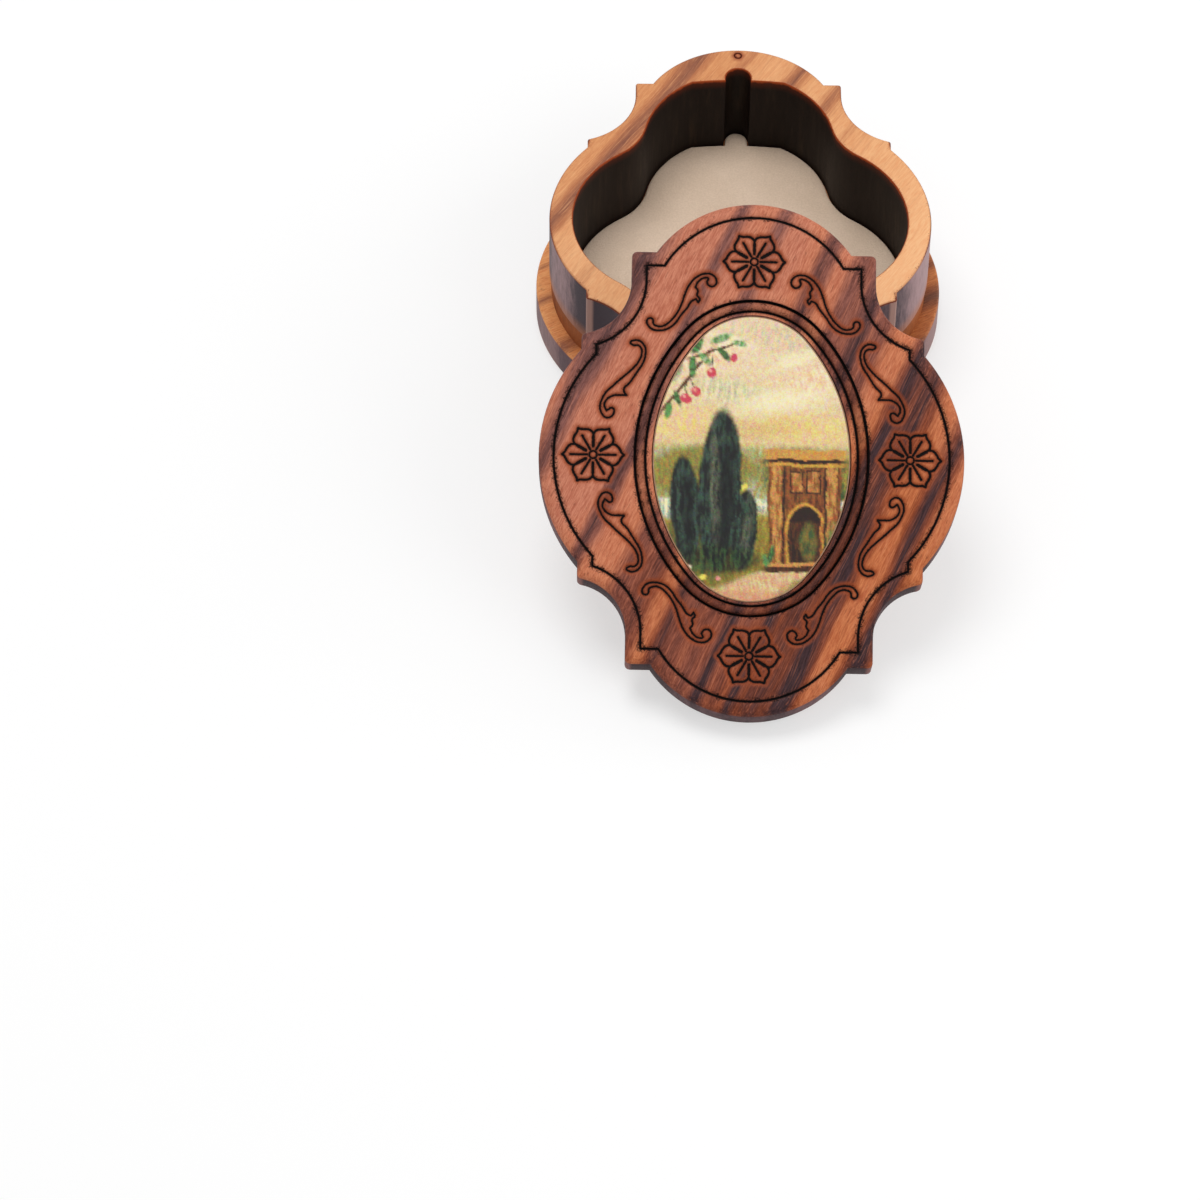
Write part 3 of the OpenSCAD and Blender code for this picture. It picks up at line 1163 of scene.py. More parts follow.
    def burn(self, s: Shader, wood: Sock, here: Sock) -> tuple[Sock, Sock]:
        """Blackens the burnt lines and scorches the wood beside them.

        Args:
            s: the shader.
            wood: colour of the wood.
            here: the place on the board, in millimetres.

        Returns:
            The colour and how charred each place is, from 0 to 1.
        """
        rough = s.noise(here, 4.2, 3.0, 0.7)
        broad = s.noise(here, 0.7, 2.0)
        gap = (1 - s.attribute(Mark.BURN)) * Burning.REACH
        tint = s.attribute(Mark.SCORCH)
        edge = gap + (rough - 0.5) * 0.24 + tint.rise(0.6, 0.95) * 0.045
        glow = tint.rise(0.15, 0.85) * (broad * 1.1 + 0.5)
        bead = s.attribute(Mark.BEAD).rise(0.15, 0.6)
        wood = s.mix(glow.least(1.0) * 0.72, wood, self.flame)
        wood = s.mix(bead * (broad * 0.6 + rough * 0.9 - 0.36), wood, self.scorch)
        wood = s.mix(edge.fall(0.1, 0.5) * 0.65, wood, self.scorch)
        patch = broad.rise(0.5, 0.68).most(s.attribute(Mark.BARB_SOOT_AND_PAINTED_LIGHT).rise(0.5, 0.68))
        flank = abs(s.axes(here)[0]).rise(10.0, 18.0) * broad.rise(0.3, 0.6)
        soot = patch.most(flank * 0.75) * (1 - tint.rise(0.1, 0.4)) * self.soot
        speck = (s.noise(here, 4.0, 2.0, 0.6) + soot).rise(0.63, 0.7) * gap.fall(0.3, 0.9)
        char = edge.fall(0.15, 0.26).most(speck * 0.85)
        return (s.mix(char, wood, self.burnt), char)


@dataclass(frozen=True)
class CharredWood:
    """The wall of the cavity, scorched nearly black, with a brown edge at the rim."""

    name: str = "charred_wood"
    rim: Colour = srgb(158, 66, 24)
    edge: Colour = srgb(86, 32, 12)
    char: Colour = srgb(24, 14, 9)
    ash: Colour = srgb(50, 36, 24)

    def material(self, rim_height: float) -> bpy.types.Material:
        """Makes the material.

        Args:
            rim_height: height of the rim, in millimetres.

        Returns:
            The material.
        """
        s = Shader(self.name)
        here = s.place(Matrix())
        x, y, z = s.axes(here)
        streak = s.grit(x * 0.9, y * 0.9, z * 0.12, detail=4.0, rough=0.6)
        cloud = s.grit(x * 0.08, y * 0.08, z * 0.08)
        depth = rim_height - z + (streak - 0.5) * 0.8
        colour = s.mix(streak.rise(0.45, 0.8) * cloud.rise(0.3, 0.7), self.char, self.ash)
        colour = s.mix(depth.fall(0.2, 2.2) * 0.8, colour, self.edge)
        colour = s.mix(depth.fall(0.15, 0.6), colour, self.rim)
        return s.surface(colour, 0.66 - streak * 0.12, streak * 0.12, 0.5, Specular_IOR_Level=0.2)


@dataclass(frozen=True)
class Felt:
    """Thin beige felt of short tangled fibres."""

    name: str = "beige_felt"
    light: Colour = srgb(242, 217, 193)
    shade: Colour = srgb(220, 194, 168)

    def material(self) -> bpy.types.Material:
        """Makes the material."""
        s = Shader(self.name)
        here = s.place(Matrix())
        x, y, z = s.axes(here)
        fibre = s.grit(x * 3.2, y * 3.2, z * 3.2, detail=6.0, rough=0.7)
        lint = s.grit(x * 0.9 + 4, y * 5.5, z, detail=3.0, rough=0.6)
        cloud = s.grit(x * 0.07, y * 0.07, 0.0, detail=3.0)
        colour = s.mix((fibre * 0.7 + cloud * 0.5).rise(0.35, 0.85), self.shade, self.light)
        nap = fibre * 0.22 + lint * 0.1
        return s.surface(colour, 0.95, nap, 0.7, Specular_IOR_Level=0.15, Sheen_Weight=0.15)


@dataclass(frozen=True)
class Daub:
    """One soft patch of paint on the card, an ellipse or a block, with its place and half sizes."""

    x: float
    y: float
    half_w: float
    half_h: float
    colour: Colour
    turn: float = 0.0
    edge: float = 0.2
    block: bool = False
    strength: float = 1.0
    veins: Union[Colour, None] = None

    @cached_property
    def frame(self) -> tuple[float, float, float]:
        """Returns how far the patch can reach, and the cosine and sine of its turn."""
        reach = DAUB_REACH * math.hypot(self.half_w, self.half_h)
        return (reach, math.cos(math.radians(self.turn)), math.sin(math.radians(self.turn)))

    def lay(self, below: Vector, x: float, y: float) -> Vector:
        """Paints the patch over a colour.

        Args:
            below: the colour that is there.
            x: place across the card.
            y: place up the card.

        Returns:
            The colour after it.
        """
        reach, cosine, sine = self.frame
        across, up = x - self.x, y - self.y
        if abs(across) > reach or abs(up) > reach:
            return below
        u = across * cosine + up * sine
        v = up * cosine - across * sine
        near, far = abs(u) / self.half_w, abs(v) / self.half_h
        gap = max(near, far) if self.block else math.hypot(near, far)
        if gap >= 1 + self.edge:
            return below
        share = min(1.0, (1 + self.edge - gap) / (2 * self.edge))
        paint = Vector(self.colour)
        if self.veins:
            vein = noise.noise((u * 1.9 + self.x, v * 0.42, 5.0)) + 0.5 * noise.noise((u * 4.5, v * 1.1, 8.0))
            paint = paint.lerp(Vector(self.veins), min(1.0, max(0.0, 0.35 + vein * 1.5)))
        return below.lerp(paint, self.strength * share * share * (3 - 2 * share))


CREAM = srgb(244, 232, 190)
BLUSH = srgb(236, 190, 152)
HAZE = srgb(176, 188, 150)
GOLD = srgb(238, 218, 96)
AMBER = srgb(206, 152, 62)
OCHRE = srgb(164, 142, 58)
CHERRY = srgb(206, 66, 86)
PETAL = srgb(238, 158, 148)
LEAF = srgb(88, 142, 74)
MOSS = srgb(58, 84, 44)
PINE = srgb(24, 26, 26)
PINE_LIT = srgb(54, 76, 62)
PINE_PALE = srgb(122, 126, 100)
NIGHT = srgb(10, 10, 12)
STONE = srgb(146, 84, 38)
STONE_LIT = srgb(204, 146, 76)
STONE_DARK = srgb(88, 48, 24)
GLOOM = srgb(44, 26, 20)
PATH = srgb(222, 196, 144)
CLAY = srgb(216, 160, 118)
FIELD = srgb(132, 114, 40)
LAKE = srgb(150, 176, 158)

SKY = (
    Daub(-9, 16, 7, 3.0, BLUSH, 22, 0.9, strength=0.7, veins=CREAM),
    Daub(4, 20, 8, 2.2, BLUSH, -8, 0.9, strength=0.6, veins=HAZE),
    Daub(10, 13, 6, 2.4, BLUSH, 15, 0.9, strength=0.75, veins=CREAM),
    Daub(-4, 11, 6, 1.8, HAZE, -10, 0.9, strength=0.6, veins=CREAM),
    Daub(5, 9.5, 7, 1.7, CREAM, 9, 0.8, strength=0.9),
    Daub(-11, 6, 5, 2.4, BLUSH, 5, 0.9, strength=0.6, veins=GOLD),
    Daub(9, 5, 7, 2.0, GOLD, -6, 0.9, strength=0.55, veins=BLUSH),
    Daub(0, 4.5, 7, 1.4, AMBER, 4, 0.9, strength=0.35),
    Daub(7, 16.5, 3.5, 1.1, CREAM, 20, 0.7, strength=0.8),
    Daub(-3, 19, 3.5, 1.0, CREAM, -12, 0.7, strength=0.8),
)
LAND = (
    Daub(0, -3.4, 17, 5.2, srgb(170, 154, 84), 0, 0.2, True, veins=HAZE),
    Daub(-8, -2.2, 9, 4.2, srgb(134, 128, 62), 6, 0.2, veins=OCHRE),
    Daub(10, -3.2, 9, 4.6, srgb(152, 136, 58), -8, 0.2, veins=MOSS),
    Daub(0, -8.4, 17, 1.7, LAKE, 0, 0.12, True, veins=CREAM),
    Daub(-1.4, -7.6, 3.6, 0.22, CREAM, 0, 0.5, True),
    Daub(2.0, -9.0, 2.6, 0.18, CREAM, 0, 0.5, True),
    Daub(-1.2, -5.9, 0.62, 1.9, GOLD, -14, 0.15),
    Daub(0.0, -6.1, 0.5, 1.4, CREAM, 16, 0.15),
    Daub(-0.5, -7.7, 1.5, 0.3, STONE_DARK, 0, 0.3),
    Daub(-4, -15, 19, 6.2, OCHRE, 3, 0.14, veins=FIELD),
    Daub(9, -19, 16, 7.0, FIELD, -4, 0.2, veins=OCHRE),
    Daub(-12, -17, 8.0, 6.0, MOSS, 0, 0.4, strength=0.9, veins=FIELD),
    Daub(5.4, -19.0, 4.8, 1.5, PATH, 12, 0.3, veins=CLAY),
    Daub(0.8, -21.0, 6.0, 1.9, PATH, 10, 0.3, veins=CLAY),
    Daub(-1.5, -23.0, 8.0, 1.5, CLAY, 0, 0.4),
)
GATE = (
    Daub(8.6, -8.6, 5.8, 9.0, STONE, 0, 0.02, True, veins=STONE_DARK),
    *(Daub(x, -8.6, 0.85, 8.8, STONE_LIT, 0, 0.12, True, veins=STONE) for x in (4.1, 12.9)),
    *(Daub(x, -8.6, 0.16, 8.6, GLOOM, 0, 0.4, True) for x in (5.2, 11.9)),
    Daub(8.6, 0.8, 6.6, 0.8, STONE_LIT, 0, 0.08, True, veins=AMBER),
    Daub(8.6, -0.3, 6.2, 0.28, GLOOM, 0, 0.3, True),
    Daub(8.6, -0.95, 6.0, 0.26, AMBER, 0, 0.3, True),
    *(Daub(x, -3.7, 1.2, 1.9, GLOOM, 0, 0.06, True) for x in (7.2, 10.0)),
    *(Daub(x, -3.7, 0.95, 1.65, STONE, 0, 0.08, True, veins=STONE_LIT) for x in (7.2, 10.0)),
    Daub(8.6, -10.4, 3.05, 3.3, AMBER, 0, 0.05),
    Daub(8.6, -14.2, 3.05, 4.0, AMBER, 0, 0.05, True, veins=STONE),
    Daub(8.6, -10.4, 2.55, 2.8, GLOOM, 0, 0.06),
    Daub(8.6, -14.4, 2.55, 4.0, GLOOM, 0, 0.05, True, veins=STONE_DARK),
    Daub(9.3, -13.6, 1.4, 3.2, srgb(124, 104, 46), 0, 0.25, veins=MOSS),
    Daub(8.6, -17.9, 6.6, 0.55, STONE_DARK, 0, 0.15, True, veins=GLOOM),
    Daub(8.6, -17.2, 6.4, 0.3, STONE_LIT, 0, 0.2, True),
)
BOUGH = (
    Daub(-11.0, 12.0, 6.6, 0.28, STONE_DARK, 52, 0.4, True),
    Daub(-6.2, 17.6, 4.4, 0.2, STONE_DARK, 20, 0.4, True),
    Daub(-12.6, 14.6, 2.2, 1.1, LEAF, 70, 0.4, strength=0.8, veins=MOSS),
    Daub(-9.6, 14.8, 1.7, 0.62, LEAF, 95, 0.3, veins=MOSS),
    Daub(-7.8, 16.2, 1.5, 0.55, LEAF, -40, 0.3, veins=HAZE),
    Daub(-9.0, 18.6, 1.8, 0.7, MOSS, 60, 0.3, veins=LEAF),
    Daub(-5.2, 19.6, 1.6, 0.6, LEAF, 28, 0.3, veins=HAZE),
    Daub(-4.6, 17.0, 1.4, 0.5, MOSS, -50, 0.3, veins=LEAF),
    Daub(-2.2, 18.8, 1.3, 0.5, LEAF, -10, 0.3, veins=HAZE),
    Daub(-12.0, 9.6, 1.4, 0.5, MOSS, 110, 0.3, veins=LEAF),
    Daub(-13.4, 7.6, 1.2, 0.5, LEAF, 80, 0.3),
    Daub(-10.6, 11.0, 0.12, 1.1, MOSS, 0, 0.5, True),
    Daub(-10.7, 9.6, 0.8, 0.8, CHERRY),
    Daub(-9.5, 12.0, 0.1, 1.0, MOSS, 20, 0.5, True),
    Daub(-9.1, 10.9, 0.75, 0.75, CHERRY),
    Daub(-6.4, 15.3, 0.1, 1.1, MOSS, 0, 0.5, True),
    Daub(-6.4, 14.0, 0.8, 0.8, CHERRY),
    Daub(-3.0, 16.4, 0.65, 0.65, CHERRY),
    Daub(-10.9, 9.9, 0.26, 0.26, PETAL, edge=0.5),
    Daub(-9.3, 11.2, 0.25, 0.25, PETAL, edge=0.5),
    Daub(-6.6, 14.3, 0.26, 0.26, PETAL, edge=0.5),
)
TREES = (
    Daub(-10.4, -8.4, 2.4, 8.6, PINE, 4, 0.1, veins=PINE_LIT),
    Daub(-5.0, -5.2, 3.5, 13.2, PINE, -2, 0.08, veins=PINE_LIT),
    Daub(-4.2, -7.6, 1.5, 10.0, NIGHT, -2, 0.4, strength=0.8, veins=PINE),
    Daub(-5.9, -4.0, 0.8, 9.0, PINE_PALE, 2, 0.6, strength=0.5, veins=PINE),
    Daub(-1.0, -11.6, 2.0, 6.6, PINE, -4, 0.1, veins=PINE_LIT),
    Daub(-0.6, -12.0, 0.7, 5.0, PINE_PALE, -6, 0.6, strength=0.5, veins=PINE),
    Daub(-10.0, -9.0, 0.9, 6.4, NIGHT, 4, 0.5, strength=0.7, veins=PINE),
    Daub(-5.0, -16.6, 6.4, 2.2, NIGHT, 0, 0.3, strength=0.85, veins=MOSS),
)
VERGE = (
    Daub(-11.8, -16.4, 0.6, 0.5, PETAL, 0, 0.4),
    Daub(-9.6, -18.0, 0.5, 0.4, CREAM, 0, 0.4),
    Daub(-12.6, -14.0, 0.45, 0.4, CHERRY, 0, 0.4),
    Daub(-7.4, -19.4, 0.5, 0.4, GOLD, 0, 0.4),
    Daub(-5.0, -19.6, 0.4, 0.35, PETAL, 0, 0.4),
    Daub(3.2, -15.6, 0.5, 1.6, MOSS, -12, 0.3, veins=LEAF),
    Daub(2.3, -16.6, 0.4, 1.1, LEAF, 18, 0.3),
    Daub(13.8, -14.6, 1.6, 3.6, MOSS, 6, 0.4, strength=0.9, veins=LEAF),
)


@dataclass(frozen=True)
class Painting:
    """An old print of a gate and dark trees by a lake, under a fruit bough, painted patch by patch."""

    layers: tuple[tuple[Daub, ...], ...] = (SKY, LAND, GATE, BOUGH, TREES, VERGE)
    horizon: Colour = srgb(222, 194, 132)
    zenith: Colour = srgb(236, 214, 178)
    mark: str = "paint"
    seed: int = 1795579613

    def colour_at(self, x: float, y: float) -> Vector:
        """Mixes the colour at a place.

        Args:
            x: place across the card, in millimetres.
            y: place up the card.

        Returns:
            The linear colour.
        """
        wide = noise.noise_vector((x * 0.3, y * 0.3, 3.0)) * 0.4
        fine = noise.noise_vector((x * 1.9, y * 1.9, 9.0)) * 0.16
        x += wide.x + fine.x
        y += wide.y + fine.y
        share = min(1.0, max(0.0, (y + 4) / 24))
        found = Vector(self.horizon).lerp(Vector(self.zenith), share)
        for layer in self.layers:
            for patch in layer:
                found = patch.lay(found, x, y)
        return found

    def paint(self, bm: BMesh, height: float) -> None:
        """Writes the colours on the card's face as an attribute, with the same waver of the brush each time."""
        noise.seed_set(self.seed)
        layer = bm.verts.layers.float_color.new(self.mark)
        for vert in bm.verts:
            if vert.co.z > height - ON_FACE:
                vert[layer] = (*self.colour_at(vert.co.x, vert.co.y), 1.0)


@dataclass(frozen=True)
class PrintedCard:
    """The face of the card: the painting's colours broken up by the grain of the print."""

    name: str = "printed_card"

    def material(self, board: Matrix) -> bpy.types.Material:
        """Makes the material.

        Args:
            board: puts the lid's own frame in the box's frame, in millimetres.

        Returns:
            The material.
        """
        s = Shader(self.name)
        here = s.place(board)
        x, y, _ = s.axes(here)
        paint = s.node("ShaderNodeAttribute", {"attribute_name": Painting.mark}, {}, "Color")
        brush = s.grit(x * 1.8 + y * 0.6, y * 0.8 - x * 0.3, detail=4.0, rough=0.65)
        colour = s.mix(0.6, paint, s.mix(brush, (0.1,) * 3, (0.9,) * 3), "SOFT_LIGHT")
        for scale, share in ((1.1, 0.45), (4.6, 0.8)):
            values = {"Vector": here, "Scale": scale, "Detail": 2.0}
            dots = s.node("ShaderNodeTexNoise", {}, values, "Color")
            colour = s.mix(share, colour, dots, "OVERLAY")
        return s.surface(colour, 0.36, Specular_IOR_Level=0.35)


@dataclass(frozen=True)
class CardEdge:
    """The bare cut edge of the card."""

    name: str = "card_edge"
    paper: Colour = srgb(158, 118, 88)
    soiled: Colour = srgb(176, 140, 112)

    def material(self, board: Matrix) -> bpy.types.Material:
        """Makes the material."""
        s = Shader(self.name)
        soil = s.noise(s.place(board), 0.6, 3.0)
        return s.surface(s.mix(soil.rise(0.45, 0.75), self.paper, self.soiled), 0.6)


@dataclass(frozen=True)
class Heights:
    """Heights of the boards and places of their edges, in millimetres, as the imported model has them."""

    foot: float = 6.0
    wall: float = 10.2
    rim: float = 22.2
    wall_set: float = 2.2
    plinth_set: float = 0.3
    felt: float = 0.8
    lid: float = 6.0
    plug: float = 3.6
    border: float = 2.4
    groove: float = 0.35


@dataclass
class Base:
    """The lower part of the box: foot, plinth, wall and felt."""

    sizes: Heights = field(default_factory=Heights)
    outline: BarbedOutline = field(default_factory=BarbedOutline)
    cavity: CavityOutline = field(default_factory=CavityOutline)
    felt_gap: float = 0.25
    mark_inset: float = 1.45
    mark_r: float = 0.6
    mark_w: float = 0.26
    scorch_inset: float = 0.1
    rim_pitch: float = 1.0
    rim_round: float = 0.3
    rim_land: float = 0.7
    barb_r: float = 0.4
    barb_extra: float = 0.5
    edge_pitch: float = 0.4

    def build_foot(self, wood: bpy.types.Material) -> bpy.types.Object:
        """Makes the foot board."""
        board = Board("foot", "foot_board", Body.BASE, "foot_wood")
        top = self.sizes.foot
        slab(board.bm, self.outline, eased(0.0, 0.0) + rounding(0.5, top) + [(1.5, top)])
        burning = Burning(top)
        burning.points[Mark.BARB_SOOT_AND_PAINTED_LIGHT] += self.outline.tips(0.0)
        burning.mark(board.bm)
        return board.finish([wood])

    def build_plinth(self, wood: bpy.types.Material, char: bpy.types.Material) -> bpy.types.Object:
        """Makes the low board between the foot and the wall."""
        board = Board("plinth", "plinth_ring", Body.BASE, "plinth_wood")
        margin = self.sizes.wall_set + self.sizes.plinth_set
        low, high = self.sizes.foot, self.sizes.wall
        outside = [(margin, low), (margin, high)]
        frame(board.bm, self.outline, outside, self.cavity, [(0.0, low), (0.0, high)], high)
        Burning(high).mark(board.bm)
        return board.finish([wood, char])

    def build_wall(self, wood: bpy.types.Material, char: bpy.types.Material) -> bpy.types.Object:
        """Makes the wall with its scorched cavity and the ring mark on the rim."""
        board = Board("wall", "wall_ring", Body.BASE, "wall_wood")
        low, rim, margin = self.sizes.wall, self.sizes.rim, self.sizes.wall_set
        outside = [(margin + 0.12, low), (margin, low + 0.15), (margin, rim - 1.02)]
        outside += rounding(self.rim_round, rim, 3, margin) + [(margin + self.rim_land, rim)]
        worn = replace(self.outline, least_r=self.barb_r, barb_w=self.outline.barb_w + self.barb_extra)
        edge = [(-m, z) for m, z in rounding(self.rim_round, rim, 3)]
        inside = [(0.0, low), (0.0, low + 2.0)] + edge + [(-self.rim_land, rim)]
        frame(board.bm, worn, outside, self.cavity, inside, rim - 0.03)
        burning = Burning(rim)
        mark = BurntLine(six_points(self.mark_r), closed=True, width=self.mark_w)
        centre = Matrix.Translation((0, self.outline.length / 2 - margin - self.mark_inset, 0))
        burning.add(mark, centre)
        board.cut(burning.cutters)
        half_w, half_len = self.outline.width / 2, self.outline.length / 2
        lattice(board.bm, level_faces(board.bm, rim), self.rim_pitch, half_w, half_len)
        burning.points[Mark.BURN] += self.rim_edges()
        burning.points[Mark.BARB_SOOT_AND_PAINTED_LIGHT] += self.outline.tips(margin)
        burning.mark(board.bm)
        return board.finish([wood, char])

    def rim_edges(self) -> list[Vector]:
        """Returns points along the two scorched edges of the rim."""
        sketch = bmesh.new()
        outer = self.outline.draw(sketch, self.sizes.wall_set - self.scorch_inset, 0)
        found = Burning.along(outer, self.edge_pitch)
        found += Burning.along(self.cavity.draw(sketch, self.scorch_inset, 0), self.edge_pitch)
        sketch.free()
        return found

    def build_felt(self, cloth: bpy.types.Material) -> bpy.types.Object:
        """Makes the felt on the floor of the cavity."""
        board = Board("felt", "floor_felt", Body.BASE, "felt")
        low = self.sizes.foot
        high = low + self.sizes.felt
        gap = self.felt_gap
        slab(board.bm, self.cavity, [(gap, low)] + rounding(0.3, high, 3, gap) + [(gap + 1.2, high)])
        return board.finish([cloth])


@dataclass
class Lid:
    """The lid: its board, the picture in it and the plate under it, made flat and then laid on the rim."""

    place: Matrix
    sizes: Heights = field(default_factory=Heights)
    outline: BarbedOutline = field(default_factory=BarbedOutline)
    oval: OvalOutline = field(default_factory=OvalOutline)
    flower_x: float = 25.3
    flower_y: float = 32.3
    pocket: float = 0.15
    ledge: float = 0.85
    ledge_drop: float = 0.5
    bead_w: float = 1.38
    furrow_w: float = 0.32
    furrow_depth: float = 0.8
    picture_t: float = 1.2
    picture_drop: float = 0.25
    picture_pitch: float = 0.72
    plate_gap: float = 0.3
    face_pitch: float = 0.6
    fine_reach: float = 1.25
    dip: float = 0.3
    furrow_slant: float = 0.06
    bead_foot: float = 0.08
    bead_lift: float = 0.02
    bead_steps: int = 8

    @property
    def picture_z(self) -> float:
        """Height of the picture's back."""
        return self.sizes.lid - self.ledge_drop - self.picture_drop - self.picture_t

    def moulding(self) -> list[tuple[float, float]]:
        """Returns the profile round the picture, from the pocket's floor outwards to the face."""
        top = self.sizes.lid
        ledge_z = top - self.ledge_drop
        ledge_end = self.pocket + self.ledge
        bead_x = ledge_end + self.furrow_w + self.bead_w / 2
        bead_r = self.bead_w / 2
        end = ledge_end + 2 * self.furrow_w + self.bead_w
        found = [(self.pocket, self.picture_z), (self.pocket, ledge_z - 0.1), (self.pocket + 0.1, ledge_z)]
        deep = top - self.furrow_depth
        reach = bead_r + self.bead_foot
        centre_z = top - bead_r + self.bead_lift
        found += [(ledge_end, ledge_z + 0.05), (ledge_end + self.furrow_slant, deep), (bead_x - reach, deep)]
        for k in range(self.bead_steps + 1):
            angle = math.pi * (1 - k / self.bead_steps)
            found.append((bead_x + bead_r * math.cos(angle), centre_z + bead_r * math.sin(angle)))
        found += [(bead_x + reach, deep), (end - self.furrow_slant, deep)]
        found += [(end + 0.04, top - 0.12), (end + 0.14, top), (end + 0.5, top), (end + 0.9, top)]
        return [(-out, z) for out, z in found]

    def border(self) -> list[tuple[float, float]]:
        """Returns the profile of the board's side, its rounded edge and the border line."""
        top = self.sizes.lid
        deep = top - self.sizes.groove
        line = self.sizes.border
        half = [(0.17, top), (0.12, deep + 0.12), (0.04, deep)]
        groove = [(line - x, z) for x, z in half] + [(line + x, z) for x, z in reversed(half)]
        side = eased(0.0, 0.0, 0.4, 0.12) + rounding(0.95, top, 7, width=1.7)
        return side + [(1.95, top)] + groove + [(3.0, top), (3.4, top)]

    def build_board(self, wood: bpy.types.Material) -> bpy.types.Object:
        """Makes the lid's board with its moulding, border line, flowers and scrolls."""
        board = Board("lid", "lid_board", Body.LID, "lid_wood", self.place)
        lower, land_edge = loft(board.bm, self.outline, self.border())
        close(board.bm, lower)
        floor, moulding_edge = loft(board.bm, self.oval, self.moulding())
        close(board.bm, floor)
        fill_between(board.bm, land_edge, moulding_edge)
        land = self.sizes.lid
        burning = Burning(land)
        flower = FlowerMark().lines()
        for x, y in ((self.flower_x, 0), (-self.flower_x, 0), (0, self.flower_y), (0, -self.flower_y)):
            for line in flower:
                burning.add(line, Matrix.Translation((x, y, 0)))
        for line, quarter in ScrollMarks().lines():
            burning.add(line, quarter)
        board.cut(burning.cutters)
        half_w, half_len = self.outline.width / 2, self.outline.length / 2
        lattice(board.bm, level_faces(board.bm, land), self.face_pitch, half_w, half_len)
        refine(board.bm, burning.near(level_faces(board.bm, land), self.fine_reach), 1)
        sketch = bmesh.new()
        lines = burning.points[Mark.BURN]
        lines += Burning.along(self.outline.draw(sketch, self.sizes.border, 0))
        ledge_end = self.pocket + self.ledge
        for out in (ledge_end + self.furrow_w / 2, ledge_end + self.furrow_w * 1.5 + self.bead_w):
            lines += Burning.along(self.oval.draw(sketch, -out, 0))
        middle = ledge_end + self.furrow_w + self.bead_w / 2
        burning.points[Mark.BEAD] += Burning.along(self.oval.draw(sketch, -middle, 0))
        sketch.free()
        burning.points[Mark.BARB_SOOT_AND_PAINTED_LIGHT] += self.outline.tips(0.0)
        burning.mark(board.bm, self.dip)
        return board.finish([wood])

    def build_plate(self, wood: bpy.types.Material) -> bpy.types.Object:
        """Makes the plate under the lid that keeps it in place."""
        board = Board("plate", "locating_plate", Body.LID, "plate_wood", self.place)
        gap = self.plate_gap
        slab(board.bm, CavityOutline(), eased(gap, -self.sizes.plug) + [(gap, 0.0)])
        return board.finish([wood])

    def build_picture(self, card: bpy.types.Material, edge: bpy.types.Material) -> bpy.types.Object:
        """Makes the printed oval with its bare edge."""
        board = Board("picture", "picture_oval", Body.LID, "picture_card", self.place)
        top = self.picture_z + self.picture_t
        profile = [(0.0, self.picture_z)] + rounding(0.1, top, 2) + [(0.22, top)]
        _, printed = slab(board.bm, self.oval, profile)
        for side in board.bm.faces:
            side.material_index = Face.OTHER.value
        printed.material_index = Face.MAIN.value
        half_w, half_len = self.oval.width / 2, self.oval.length / 2
        lattice(board.bm, level_faces(board.bm, top), self.picture_pitch, half_w, half_len)
        refine(board.bm, level_faces(board.bm, top), 2)
        Painting().paint(board.bm, top)
        return board.finish([card, edge])


